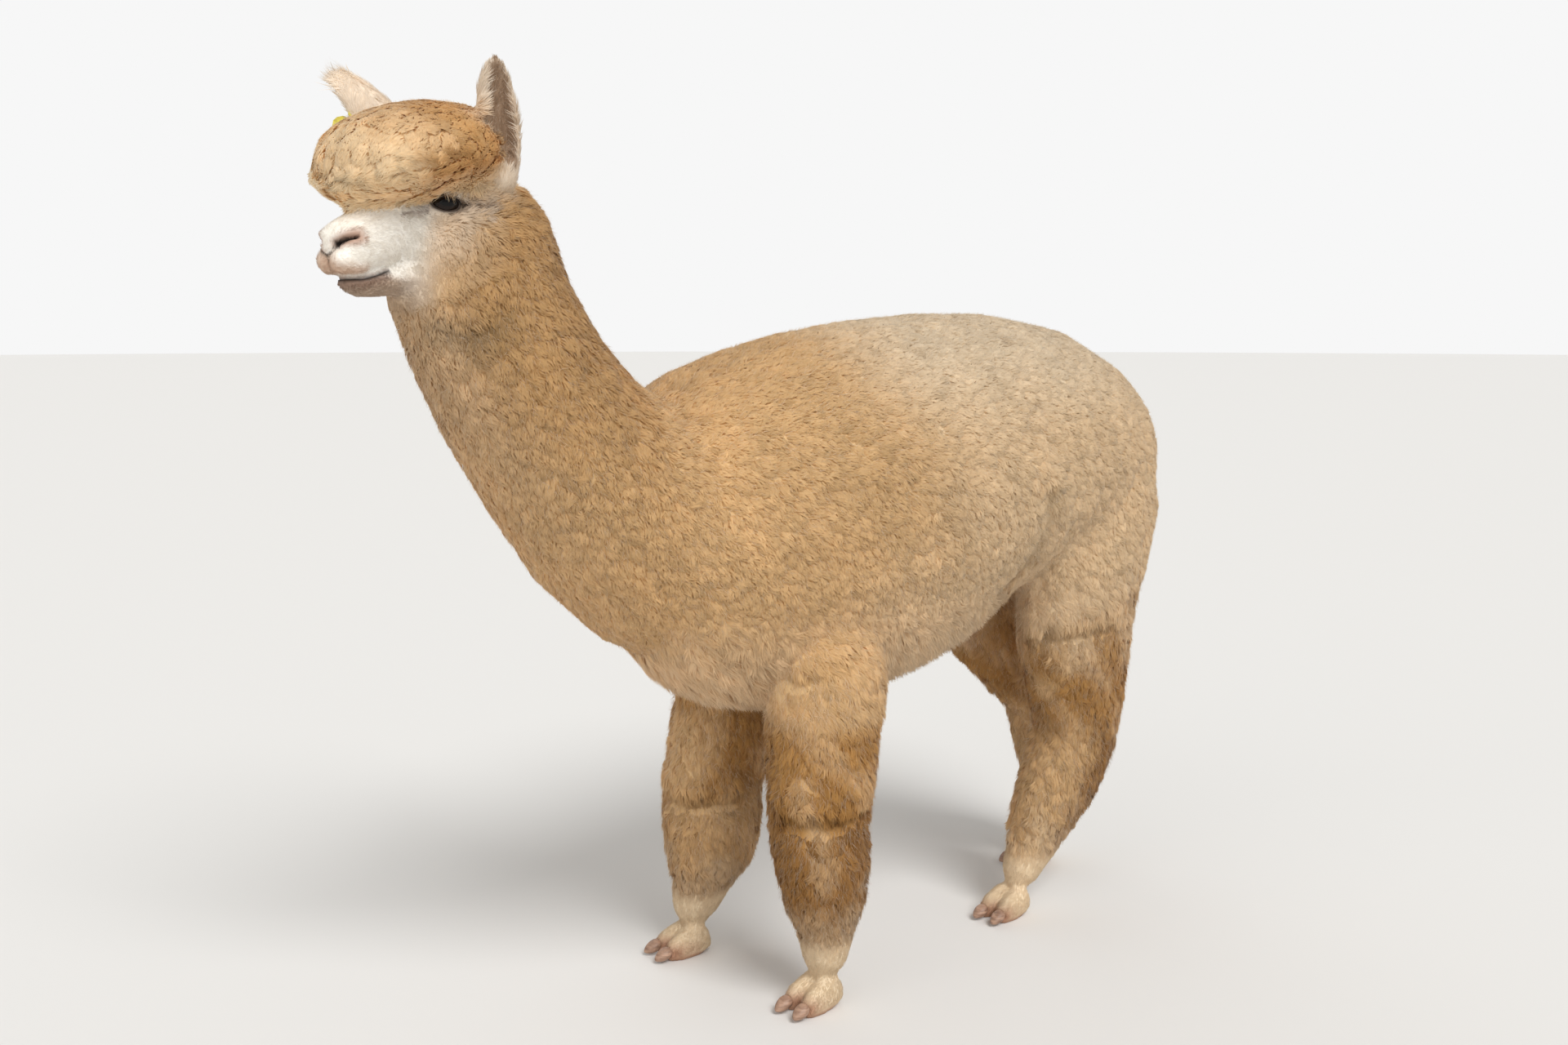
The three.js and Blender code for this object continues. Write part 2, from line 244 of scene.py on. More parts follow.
# What each part of the body wears, in metres. Depth is how far the skin lies inside the coat's tips,
# length and width are those of one lock, curl bends the locks, and thick is how many thousands of them
# stand on a square metre. Clumps is how many thousands of clumps there are on it, gather how far the
# locks are drawn together in them, bunch how far the clumps stand apart, and fold how far the tips turn
# back in. Ease is how freely that part of the skin is evened out, and lie the way the coat runs.
coatKeys = (
    "depth", "length", "width", "curl", "thick", "clumps", "gather", "bunch", "fold", "ease", "lie",
)
coatTable = {
    "trunk": (0.0058, 0.016, 0.0026, 0.45, 132, 5.8, 0.28, 0.24, 0.35, 1.0, (0, 1, -0.45)),
    "neck": (0.0060, 0.016, 0.0025, 0.45, 136, 6.2, 0.28, 0.25, 0.35, 1.0, (0, 0.45, -1)),
    "tail": (0.0110, 0.030, 0.0033, 0.6, 130, 5.5, 0.50, 0.30, 0.0, 0.6, (0, 0.1, -1)),
    "topknot": (0.0050, 0.015, 0.0027, 0.5, 300, 6.0, 0.22, 0.25, 0.45, 0.8, (0, -1, -0.3)),
    "leg": (0.0078, 0.022, 0.0028, 0.5, 126, 5.0, 0.50, 0.38, 0.12, 1.0, (0, 0.05, -1)),
    "foot": (0.0016, 0.006, 0.0013, 0.2, 160, 20.0, 0.15, 0.0, 0.0, 0.14, (0, -0.3, -1)),
    "head": (0.006, 0.011, 0.0016, 0.4, 260, 11.0, 0.32, 0.12, 0.25, 0.4, (0, 1, -0.4)),
    "muzzle": (0.0010, 0.0045, 0.0008, 0.1, 280, 25.0, 0.15, 0.0, 0.0, 0.25, (0, 1, 0.1)),
    "chin": (0.0010, 0.0055, 0.0009, 0.2, 280, 25.0, 0.15, 0.0, 0.0, 0.25, (0, 1, -0.2)),
    "ear": (0.002, 0.011, 0.0012, 0.2, 330, 25.0, 0.15, 0.0, 0.0, 0.12, (0, 0, 1)),
}
kinds = {name: dict(zip(coatKeys, row)) for name, row in coatTable.items()}
coatOf = {name: kinds[name] for name in ("trunk", "neck", "tail", "topknot", "head", "muzzle", "chin")}
coatOf["ear_left"] = {**kinds["ear"], "lie": (0.05, 0, 1)}
coatOf["ear_right"] = {**kinds["ear"], "lie": (-0.7, -0.3, 0.7)}
for leg in ("foreleg_left", "foreleg_right", "hindleg_left", "hindleg_right"):
    coatOf[leg + "_upper"] = kinds["leg"]
    coatOf[leg + "_lower"] = kinds["leg"]
    coatOf[leg + "_foot"] = kinds["foot"]
fleshNodes = list(coatOf)

skinSettings = {
    "voxel": 0.0036,  # grid the parts are melted together on
    "evenRounds": 36,  # of smoothing, which takes the facets and cuts away
    "easing": 0.6,  # how strong each round is
    "creaseDepth": 0.016,  # of a crease that takes all of the coat away
    "soleHeight": 0.0035,  # below it the skin is pressed towards the ground
    "aroundEye": 0.034,  # from the eye's centre, where the skin stays fine
    "share": 0.205,  # faces kept in all
    "shareInFlat": 0.022,  # faces kept in the copy that is laid flat
}


def meltFlesh():
    # every flesh part and the eyes as one closed surface, out to the tips of the coat
    shell = bmesh.new()
    for name in fleshNodes + ["eye_left", "eye_right"]:
        part = weldedMesh(name, "part")
        shell.from_mesh(part)
        bpy.data.meshes.remove(part)
    skin = newObject("skin", meshOf(shell, "skin"))
    melt = skin.modifiers.new("melt", "REMESH")
    melt.mode = "VOXEL"
    melt.voxel_size = skinSettings["voxel"]
    applyModifiers(skin)
    return skin


fleshFaces = []
fleshOwners = []
fleshCorners = []
for index, name in enumerate(fleshNodes):
    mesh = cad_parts[name].data
    fleshFaces += [[len(fleshCorners) + i for i in polygon.vertices] for polygon in mesh.polygons]
    fleshCorners += [v.co for v in mesh.vertices]
    fleshOwners += [index] * len(mesh.polygons)
fleshTree = BVHTree.FromPolygons(fleshCorners, fleshFaces)


def labelPoints(points):
    # which node each point of the skin belongs to
    return np.array([fleshOwners[fleshTree.find_nearest(p)[2]] for p in points])


def settingOf(key, labels):
    return np.array([coatOf[name][key] for name in fleshNodes], dtype=float)[labels]


def refine(mesh, wanted, cuts):
    # cuts the edges whose two ends are both wanted into smaller ones
    shell = bmesh.new()
    shell.from_mesh(mesh)
    shell.verts.ensure_lookup_table()
    picked = [e for e in shell.edges if wanted[e.verts[0].index] and wanted[e.verts[1].index]]
    bmesh.ops.subdivide_edges(shell, edges=picked, cuts=cuts, use_grid_fill=True)
    shell.to_mesh(mesh)
    shell.free()


skin = meltFlesh()
tell(f"flesh melted: {len(skin.data.vertices)} vertices")
points = readMesh(skin.data)
labels = labelPoints(points)
freedom = skinSettings["easing"] * settingOf("ease", labels)
points = spread(points, neighboursOf(skin.data), skinSettings["evenRounds"], freedom)
writeMesh(skin.data, points)
inHead = toHead(points)
onFace = ((inHead > (-0.12, -0.18, -0.12)) & (inHead < (0.12, 0.03, 0.045))).all(axis=1)
refine(skin.data, onFace, 2)
inHead = toHead(readMesh(skin.data))
eyeGap = gapTo(onLeft(inHead), eyeInHead)
refine(skin.data, eyeGap < skinSettings["aroundEye"], 1)
points = readMesh(skin.data)
around = neighboursOf(skin.data)
labels = labelPoints(points)
tell(f"skin evened out and refined on the face: {len(points)} vertices")

# where things lie on the animal
isHead = np.isin(labels, [fleshNodes.index(n) for n in ("head", "muzzle", "chin")])
isEar = {side: labels == fleshNodes.index("ear_" + side) for side in ("left", "right")}
isTopknot = labels == fleshNodes.index("topknot")
isTrunk = labels == fleshNodes.index("trunk")
inHead = toHead(points)
eyeGap = gapTo(onLeft(inHead), eyeInHead)
outward = unit(spread(readArray(skin.data.vertex_normals, "vector"), around, 6))

# how deep the skin lies
depth = settingOf("depth", labels)
behindNose = inHead[:, 1] + 0.35 * np.minimum(inHead[:, 2], 0) + 0.02
faceDepth = 0.0012 + 0.0085 * smoothStep(-0.06, 0.045, behindNose)
depth = np.where(isHead, faceDepth, depth)
depth = spread(depth, around, 30)
depth *= np.where(isHead | isTopknot, smoothStep(0.018, 0.046, eyeGap), 1)
depth *= 0.05 + 0.95 * smoothStep(0.003, 0.03, points[:, 2])  # nearly none under the soles

# creases where the coat parts or folds: half width, how much of the coat is lost there, line
creases = {
    "kneeLeft": (0.017, 0.8, (
        (0.12, -0.17, 0.318), (0.167, -0.143, 0.311), (0.2, -0.092, 0.312), (0.197, -0.02, 0.326),
    )),
    "kneeRight": (0.016, 0.7, (
        (-0.19, -0.19, 0.285), (-0.119, -0.167, 0.276), (-0.074, -0.135, 0.28), (-0.064, -0.069, 0.282),
    )),
    "elbow": (0.012, 0.35, (
        (0.124, -0.27, 0.575), (0.132, -0.174, 0.535), (0.168, -0.144, 0.527), (0.199, -0.046, 0.555),
    )),
    "flankLeft": (0.022, 0.55, (
        (0.248, 0.3, 0.8), (0.231, 0.312, 0.718), (0.197, 0.295, 0.65), (0.147, 0.273, 0.592),
    )),
    "flankRight": (0.014, 0.45, (
        (-0.248, 0.36, 0.8), (-0.231, 0.372, 0.718), (-0.197, 0.355, 0.65),
    )),
    "shoulder": (0.013, 0.22, (
        (0.134, -0.27, 0.877), (0.152, -0.297, 0.818), (0.158, -0.321, 0.764), (0.146, -0.354, 0.721),
    )),
    "gaskin": (0.015, 0.5, (
        (0.11, 0.37, 0.505), (0.163, 0.405, 0.523), (0.198, 0.468, 0.527), (0.206, 0.521, 0.536),
    )),
    "temple": (0.006, 0.5, (
        (0.08, -0.595, 1.208), (0.085, -0.595, 1.192), (0.09, -0.594, 1.174),
    )),
    "jowl": (0.01, 0.22, (
        (0.06, -0.645, 1.045), (0.089, -0.607, 1.028), (0.102, -0.585, 1.045), (0.104, -0.565, 1.075),
    )),
}
creased = np.zeros(len(points))
overhang = np.zeros(len(points))  # the coat swells just above a crease


def between(along):
    # 1 along a line, fading out at its two ends
    return smoothStep(0, 0.12, along) * smoothStep(1, 0.88, along)


for halfWidth, loss, line in creases.values():
    gap, along = nearLine(points, line)
    creased = np.maximum(creased, loss * between(along) * np.exp(-((gap / halfWidth) ** 2)))
    above, along = nearLine(points - (0, 0, 2.2 * halfWidth), line)
    bulge = np.exp(-((above / (1.6 * halfWidth)) ** 2))
    overhang = np.maximum(overhang, 0.5 * halfWidth * loss * between(along) * bulge)

# which way the coat runs
lie = settingOf("lie", labels)
lie[isHead] = lie[isHead] @ headAxes
hang = smoothStep(0.98, 0.60, points[:, 2])
lie[isTrunk, 2] = -0.15 - 1.5 * hang[isTrunk]
crown = np.array((0, 0.060, 0.075))
fromCrown = unit(inHead - crown) + (0, -0.25, -0.15)
lie[isTopknot] = (fromCrown @ headAxes)[isTopknot]
beard = isHead & (inHead[:, 2] < -0.03) & (inHead[:, 1] > -0.09)
lie[beard] = np.array((0, 0.55, -1)) @ headAxes
lie = spread(unit(lie), around, 30)

# longer locks at the belly's hem, short ones on the lips
length = settingOf("length", labels)
hem = smoothStep(0.64, 0.55, points[:, 2]) * smoothStep(0.5, -0.4, outward[:, 2])
length = np.where(isTrunk, length * (1 + 1.6 * hem), length)
length = np.where(isHead, 0.0045 + 1.6 * depth, length)
onLips = isHead & (inHead[:, 1] < -0.07) & (np.abs(inHead[:, 2] + 0.076) < 0.012)
length = np.where(onLips, 0.0022, length)

# the other settings of the coat, passing gently from one part to the next
fieldNames = ("width", "curl", "thick", "clumps", "gather", "bunch", "fold")
fields = spread(np.column_stack([length] + [settingOf(key, labels) for key in fieldNames]), around, 24)
length = fields[:, 0]
coatFields = dict(zip(fieldNames, fields[:, 1:].T))
thick = coatFields["thick"]
clumps = coatFields["clumps"]

# shaggier round the foot of the topknot and on the cheeks, matted at the stifles
stifle = gapTo(onLeft(points), (0.13, 0.42, 0.46), (0.09, 0.06, 0.06))
matted = smoothStep(1.2, 0.5, stifle)
rimKnot = isTopknot * smoothStep(0.25, -0.25, outward[:, 2]) * smoothStep(0.10, 0.05, inHead[:, 2])
lowKnot = isTopknot * smoothStep(0.085, 0.055, inHead[:, 2])
cheeks = isHead * smoothStep(-0.01, 0.04, inHead[:, 1])
length = length * (1 + 0.25 * rimKnot)
coatFields["bunch"] += np.where(isTopknot, 0.10 * lowKnot - 0.14, 0) + 0.05 * cheeks + 0.16 * matted
coatFields["curl"] += 0.5 * matted + 0.2 * cheeks
coatFields["hang"] = np.clip(0.85 * hem * isTrunk + 0.18 * rimKnot + 0.35 * matted, 0, 1)

# the skin itself, inside the coat
inward = depth + skinSettings["creaseDepth"] * creased - overhang
skinPoints = points - outward * inward[:, None]
low = skinPoints[:, 2] < skinSettings["soleHeight"]
skinPoints[low, 2] = np.maximum(skinPoints[low, 2] * 0.3, 0)

lidSettings = {
    "halfWidth": 60,  # of the slit between the lids, in degrees around the eyeball, as all angles here
    "above": 18,
    "below": 30,
    "tilt": 0.17,  # the rear corner lies lower
    "sunk": 0.004,  # skin behind the eyeball's surface inside the slit
    "rim": 0.0023,  # lids stand off the eyeball
    "reach": (4, 34),  # from the slit, where the lids pass over into the face
    # crease of each lid: from the slit, half width, depth
    "upperCrease": (8, 2.2, 0.0009),
    "lowerCrease": (10, 2.5, 0.0006),
}


def eyeAngles(place, side):
    # distance from the eye's centre and signed angle, in degrees, outside the slit between the lids
    outwardAxis, forwardAxis = eyeAxes(side)
    arm = place - eyeAt(side)
    reach = np.linalg.norm(arm, axis=1)
    arm = arm / np.maximum(reach, 1e-6)[:, None]
    across = np.degrees(np.arctan2(arm @ forwardAxis, arm @ outwardAxis))
    rise = np.degrees(np.arcsin(np.clip(arm[:, 2], -1, 1))) - lidSettings["tilt"] * across
    half = np.where(rise > 0, lidSettings["above"], lidSettings["below"])
    oval = np.sqrt(np.abs(across / lidSettings["halfWidth"]) ** 1.8 + np.abs(rise / half) ** 2)
    return reach, (oval - 1) * half, arm, rise


def shapeLids(place):
    sunk, rim = lidSettings["sunk"], lidSettings["rim"]
    for side in (1, -1):
        reach, outside, arm, rise = eyeAngles(place, side)
        lid = eyeRadius - sunk + (sunk + rim) * smoothStep(-3.5, 0.5, outside)
        for key, here in (("upperCrease", rise > 0), ("lowerCrease", rise < 0)):
            middle, width, drop = lidSettings[key]
            lid -= drop * np.exp(-(((outside - middle) / width) ** 2)) * here
        kept = smoothStep(*lidSettings["reach"], outside)
        shaped = np.minimum((1 - kept) * lid + kept * reach, np.maximum(reach, lid))
        change = (reach < 0.060) & (outside < lidSettings["reach"][1])
        place[change] = (eyeAt(side) + arm * shaped[:, None])[change]
    return place


skinInHead = shapeLids(toHead(skinPoints))
mirrored = onLeft(skinInHead)  # before the face is carved
# how far each point lies below the edge of the upper lip
lipEdgeAt = ((-0.150, -0.140, -0.120, -0.098, -0.080), (-0.071, -0.075, -0.077, -0.074, -0.069))
mouthDown = np.interp(mirrored[:, 1], *lipEdgeAt) - mirrored[:, 2]
muzzlePoints = skinInHead[(skinInHead[:, 0] > -0.004) & (inHead[:, 1] < -0.02) & isHead]


def onSkin(line):
    # the points of a line moved to the skin nearest to them
    gaps = [((muzzlePoints - np.array(spot)) ** 2).sum(axis=1) for spot in line]
    return [muzzlePoints[np.argmin(gap)] for gap in gaps]


def nearFaceLine(name):
    # on the face before it is carved
    return nearLine(mirrored, faceLines[name][-1])


# grooves and swellings of the muzzle: half width at the two ends, depth (minus swells), line
faceLines = {
    "nostril": ((0.0056, 0.0018), 0.011, (
        (0.018, -0.15, -0.032), (0.026, -0.143, -0.028), (0.034, -0.126, -0.025),
    )),
    "nostrilWing": ((0.008, 0.005), -0.0028, (
        (0.015, -0.15, -0.022), (0.027, -0.14, -0.019), (0.036, -0.122, -0.017),
    )),
    "noseY": ((0.0022, 0.0022), 0.0025, (
        (0.019, -0.15, -0.034), (0.01, -0.152, -0.041), (0.0, -0.154, -0.047),
    )),
    "philtrum": ((0.0022, 0.0026), 0.0028, (
        (0, -0.155, -0.046), (0, -0.152, -0.056), (0, -0.146, -0.067),
    )),
    "mouth": ((0.003, 0.0018), 0.0036, (
        (0, -0.148, -0.072), (0.016, -0.14, -0.077), (0.027, -0.12, -0.079),
        (0.032, -0.098, -0.076), (0.034, -0.08, -0.07),
    )),
    "mouthCorner": ((0.004, 0.003), 0.0018, (
        (0.034, -0.08, -0.07), (0.038, -0.066, -0.06),
    )),
    "upperLip": ((0.009, 0.008), -0.0044, (
        (0.007, -0.15, -0.063), (0.02, -0.142, -0.067), (0.03, -0.123, -0.068),
    )),
    "lowerLip": ((0.007, 0.0055), -0.0034, (
        (0.0, -0.138, -0.082), (0.014, -0.132, -0.083), (0.024, -0.114, -0.082),
    )),
    "underEye": ((0.006, 0.005), 0.0012, (
        (0.047, -0.04, -0.01), (0.056, -0.022, -0.02),
    )),
    "tearLine": ((0.005, 0.004), 0.0018, (
        (0.038, -0.036, 0.004), (0.034, -0.052, -0.002), (0.03, -0.066, -0.004),
    )),
}
for name, (*sizes, line) in faceLines.items():
    if name != "mouth":  # its nearest skin would jump from lip to lip
        faceLines[name] = (*sizes, onSkin(line))


def carveFace(place, normals):
    mirror = onLeft(place)
    # the lower lip lifted to close the mouth
    lift = 0.0038 * smoothStep(0.0, 0.0045, mouthDown) * smoothStep(0.020, 0.009, mouthDown)
    place = place + np.array((0, 0, 1)) * (lift * smoothStep(-0.070, -0.086, mirror[:, 1]))[:, None]
    for (startWidth, endWidth), drop, line in faceLines.values():
        gap, along = nearLine(mirror, line)
        reach = startWidth + (endWidth - startWidth) * along
        place = place - normals * (drop * np.exp(-((gap / reach) ** 2)))[:, None]
    return place


skinInHead = carveFace(skinInHead, outward @ headAxes.T)
carved = (isHead & (inHead[:, 1] < 0.03)) | ((isHead | isTopknot) & (eyeGap < 0.06))
skinPoints[carved] = fromHead(skinInHead)[carved]
writeMesh(skin.data, skinPoints)
tell("skin laid inside the coat, lids, nostrils and lips shaped")

# ears in their own frames: +z to the tip, the open side towards -y
earFrames = {
    "left": {"place": (0.086, 0.064, 0.034), "points": (0.16, -0.1, 1), "opens": (1, -0.25, 0)},
    "right": {
        "place": (-0.080, 0.046, 0.072),
        "points": (-0.6, -0.18, 0.78),
        "opens": (-0.7, 0.35, -0.6),
    },
}


def earAxes(side):
    # across, back and up of one ear, in the animal's frame
    ear = earFrames[side]
    up = unit(np.array(ear["points"], dtype=float))
    back = np.array(ear["opens"], dtype=float)
    back = -unit(back - up * (back @ up))
    return np.array((np.cross(back, up), back, up)) @ headAxes


def toEar(place, side):
    return (place - fromHead(np.array(earFrames[side]["place"]))) @ earAxes(side).T


insideEar = np.zeros(len(points))
earRim = np.zeros(len(points))  # from the front rim, -1, to the back rim, 1
for side in ("left", "right"):
    inEar = toEar(points, side)
    facingIn = outward @ earAxes(side)[1] < 0.15
    taper = np.interp(inEar[:, 2], (0, 0.03, 0.075, 0.115, 0.145), (0.014, 0.021, 0.0235, 0.017, 0.004))
    within = (inEar[:, 2] > 0.004) & (np.abs(inEar[:, 0]) < taper) & (inEar[:, 1] > -0.014) & facingIn
    insideEar = np.where(isEar[side] & within, 1.0, insideEar)
    earRim = np.where(isEar[side], inEar[:, 0] / 0.022, earRim)
insideEar = spread(insideEar, around, 2)
# longer hair on the ears' rims, drawn across the open side, and ragged at the tip of the right one
for side in ("left", "right"):
    high = toEar(points, side)[:, 2]
    rim = isEar[side] * smoothStep(0.55, 0.85, np.abs(earRim)) * smoothStep(0.01, 0.03, high)
    across = earAxes(side)[0] * -np.sign(earRim)[:, None]
    lie = unit(lie + across * (0.9 * rim)[:, None] - earAxes(side)[1] * (0.3 * rim)[:, None])
    length = length * (1 + 0.7 * rim) * (1 - 0.45 * isEar[side] * smoothStep(0.115, 0.145, high))
    if side == "right":
        ragged = isEar[side] * smoothStep(0.09, 0.13, high)
        length = length * (1 + 2.4 * ragged)
        lie = unit(lie + (np.array((-0.9, -0.5, 0.1)) @ headAxes) * (0.9 * ragged)[:, None])


def tone(red, green, blue):
    # a colour as it looks on a screen, as the light it gives back
    colour = np.array((red, green, blue)) / 255
    return np.where(colour > 0.04045, ((colour + 0.055) / 1.055) ** 2.4, colour / 12.92)


coatTones = {
    "fawn": tone(220, 194, 157),
    "back": tone(221, 204, 178),
    "shoulder": tone(216, 181, 132),
    "neck": tone(198, 160, 110),
    "throat": tone(226, 200, 166),
    "leg": tone(189, 144, 84),
    "legLow": tone(164, 120, 66),
    "legPale": tone(221, 189, 143),
    "foot": tone(222, 201, 170),
    "toe": tone(176, 134, 108),
    "face": tone(240, 235, 226),
    "cheek": tone(208, 176, 134),
    "nose": tone(172, 132, 108),
    "lip": tone(194, 156, 126),
    "chin": tone(166, 136, 108),
    "rim": tone(122, 86, 68),
    "dark": tone(30, 18, 13),
    "topknot": tone(208, 166, 110),
    "fringe": tone(240, 216, 178),
    "ear": tone(232, 218, 200),
    "earInside": tone(158, 132, 108),
}

partGroups = {
    "trunk": ["trunk", "tail"],
    "neck": ["neck"],
    "leg": [n for n in fleshNodes if n.endswith(("_upper", "_lower"))],
    "foot": [n for n in fleshNodes if n.endswith("_foot")],
    "topknot": ["topknot"],
    "face": ["head", "muzzle", "chin"],
    "ear": ["ear_left", "ear_right"],
}
groupNames = list(partGroups)
groupOfNode = {n: g for g, names in partGroups.items() for n in names}
groupIndex = np.array([groupNames.index(groupOfNode[n]) for n in fleshNodes])[labels]
shares = spread(np.eye(len(groupNames))[groupIndex], around, 26)
shares = dict(zip(groupNames, shares.T))

# the dark band between the lips, widest at the front: partly dark lip skin, partly painted shade in the
# mouth's seam
towardsFront = np.clip((-0.078 - mirrored[:, 1]) / 0.072, 0, 1)
darkLipBand = smoothStep(-0.0022, -0.0006, mouthDown)
darkLipBand = darkLipBand * smoothStep(0.0070, 0.0045, mouthDown - 0.0015 * towardsFront)
darkLipBand *= smoothStep(0.0, 0.08, towardsFront)
darkLipBand *= isHead * (mirrored[:, 0] < 0.05)


def toned(base, name, share):
    # one of the coat's tones mixed into a colour, or into another tone
    return mix(coatTones[base] if isinstance(base, str) else base, coatTones[name], share)


def bodyMarkings(broad, patchy):
    # places in metres: y backwards from the middle of the body, z above the ground
    x, y, z = points.T
    _, back, up = outward.T  # how far the skin faces backwards and upwards
    top = smoothStep(0.84, 1.03, z + 0.03 * broad)
    top = top * smoothStep(-0.3, 0.5, up + 0.25 * smoothStep(0.0, 0.4, y))
    trunk = toned("shoulder", "fawn", smoothStep(-0.12, 0.22, y + 0.05 * broad))
    trunk = toned(trunk, "back", 0.85 * top * smoothStep(-0.12, 0.16, y))
    trunk = toned(trunk, "throat", 0.7 * smoothStep(0.66, 0.54, z) * smoothStep(0.1, -0.6, up))
    neck = toned("neck", "throat", 0.5 * smoothStep(-0.3, -0.8, back))
    neck = toned(neck, "shoulder", 0.75 * smoothStep(1.0, 0.74, z))

    # the lower legs darker: partly their own colour, partly painted shade
    leg = toned("leg", "legLow", smoothStep(0.42, 0.22, z + 0.03 * patchy))
    leg = toned(leg, "fawn", 0.35 * smoothStep(0.0, 0.9, patchy))
    stifle = gapTo(onLeft(points), (0.13, 0.42, 0.46), (0.09, 0.06, 0.05))
    leg = toned(leg, "legPale", 0.7 * smoothStep(1.1, 0.6, stifle) * smoothStep(-0.6, 0.2, patchy))
    bareSpot = gapTo(points, (-0.085, 0.44, 0.49))
    leg = toned(leg, "toe", 0.6 * smoothStep(0.05, 0.02, bareSpot))
    # the far foreleg's knee partly paler in its own colour and partly painted light; its shin lighter
    # as painted light, where the near foreleg shades it
    farKnee = gapTo(points, (-0.13, -0.16, 0.37), (0.08, 0.08, 0.09))
    leg = toned(leg, "legPale", 0.85 * smoothStep(1.1, 0.5, farKnee))
    farShinLit = (x < 0) * (y < 0.2) * smoothStep(0.34, 0.26, z) * smoothStep(0.10, 0.20, z)
    leg = toned(leg, "legPale", 0.55 * farShinLit)
    shank = smoothStep(0.2, -0.5, back) * smoothStep(0.40, 0.28, z) * (y > 0.2)
    leg = toned(leg, "legPale", 0.8 * shank)
    leg = mix(leg, trunk, 0.75 * smoothStep(0.42, 0.56, z + 0.03 * patchy))
    leg = toned(leg, "foot", 0.45 * smoothStep(0.20, 0.13, z + 0.04 * patchy))
    foot = toned("foot", "toe", smoothStep(0.040, 0.016, z) * smoothStep(0.3, -0.5, back))
    foot = toned(foot, "toe", 0.8 * smoothStep(0.012, 0.004, z))
    return {"trunk": trunk, "neck": neck, "leg": leg, "foot": foot}


def headMarkings(patchy):
    _, y, z = mirrored.T  # behind and above the point between the eyes
    topknot = toned("topknot", "fringe", smoothStep(-0.01, -0.10, y + 0.02 * patchy))
    topknot = toned(topknot, "fringe", 0.7 * smoothStep(0.062, 0.030, z + 0.010 * patchy))
    face = toned("face", "cheek", smoothStep(-0.035, 0.030, y - 0.5 * z + 0.012 * patchy))
    face = toned(face, "neck", smoothStep(0.015, 0.07, y - 0.3 * z + 0.012 * patchy))

    nostril, nostrilAlong = nearFaceLine("nostril")
    lip, lipAlong = nearFaceLine("upperLip")
    mouth, mouthAlong = nearFaceLine("mouth")
    face = toned(face, "nose", 0.85 * smoothStep(0.015, 0.005, nostril + 0.002 * patchy))
    pinkish = smoothStep(0.026, 0.009, lip + 0.012 * lipAlong + 0.002 * patchy)
    face = toned(face, "lip", 0.80 * pinkish)
    # the chin browner: partly a stain, partly painted shade under the muzzle
    face = toned(face, "chin", 0.8 * smoothStep(-0.074, -0.086, z) * smoothStep(-0.03, -0.08, y))
    # a band below the mouth in the rim tone: partly dark lip skin, partly painted shade under the
    # overhanging upper lip
    lipEdge = smoothStep(-0.007, -0.001, mouthDown) * smoothStep(0.019, 0.008, mouthDown)
    face = toned(face, "rim", 0.65 * lipEdge * smoothStep(0.0, 0.15, towardsFront))
    # the band and the mouth's seam dark: partly dark lip skin, partly painted shade
    face = toned(face, "dark", darkLipBand)
    face = toned(face, "dark", smoothStep(0.0036, 0.0020, mouth + 0.0010 * mouthAlong))
    # painted shade: the nostrils' pits and the grooves of nose and philtrum darkened
    face = toned(face, "dark", smoothStep(0.0066, 0.0038, nostril + 0.0032 * nostrilAlong))
    for name, strength in (("noseY", 0.75), ("philtrum", 0.85)):
        groove, _ = nearFaceLine(name)
        face = toned(face, "dark", strength * smoothStep(0.0030, 0.0012, groove))

    overEye = toned("fringe", "topknot", smoothStep(0.026, 0.048, z))
    face = mix(face, overEye, 0.9 * smoothStep(0.008, 0.022, z) * smoothStep(-0.005, 0.02, y))
    for side in (1, -1):
        reach, outside, _, rise = eyeAngles(skinInHead, side)
        near = smoothStep(0.032, 0.027, reach)
        face = toned(face, "rim", 0.55 * near * smoothStep(13, 4, outside))
        lidTone = near * smoothStep(8.5, 4.0, outside) * np.where(rise > 0, 1.0, 0.85)
        face = toned(face, "dark", lidTone)
    tear, tearAlong = nearFaceLine("tearLine")
    face = toned(face, "rim", 0.6 * smoothStep(0.006, 0.002, tear + 0.004 * tearAlong))

    deepInEar = insideEar * smoothStep(-1.0, -0.45, earRim + 0.2 * patchy)
    rightHeight = toEar(points, "right")[:, 2]
    deepInEar *= np.where(isEar["left"], 1, smoothStep(0.105, 0.075, rightHeight))
    return {"topknot": topknot, "face": face, "ear": toned("ear", "earInside", deepInEar)}


def markings():
    # the coat's colour at every point of the skin, with painted shade in the creases and under the jaw
    broad = ripple(points, 0.16, 11)
    patchy = ripple(points, 0.045, 12)
    made = {**bodyMarkings(broad, patchy), **headMarkings(patchy)}
    made = sum(shares[group][:, None] * colour for group, colour in made.items())
    jowlGap, _ = nearLine(points, creases["jowl"][-1])
    underJawShade = np.exp(-((jowlGap / 0.026) ** 2)) * smoothStep(1.08, 1.03, points[:, 2])
    # broad and patchy are random tone; creased and underJawShade darken it as painted shade
    shade = 1 + 0.035 * broad + 0.03 * patchy - 0.35 * creased - 0.28 * underJawShade
    return made * shade[:, None]


skinColours = markings()
tell("markings laid out")

# fewer locks, or none, on bare or nearly bare places
for side in (1, -1):
    reach, outside, *_ = eyeAngles(skinInHead, side)
    thick = np.where((reach < skinSettings["aroundEye"]) & (outside < 6), 0, thick)
nostrilGap, _ = nearFaceLine("nostril")
thick = np.where(isHead & (nostrilGap < 0.0068), 0, thick)
mouthGap, _ = nearFaceLine("mouth")
thick = np.where(isHead & ((mouthGap < 0.0040) | (darkLipBand > 0.10)), 0, thick)
thick = np.where(insideEar > 0.35, thick * 0.30, thick)
thick = np.where(points[:, 2] < 0.012, 0, thick)

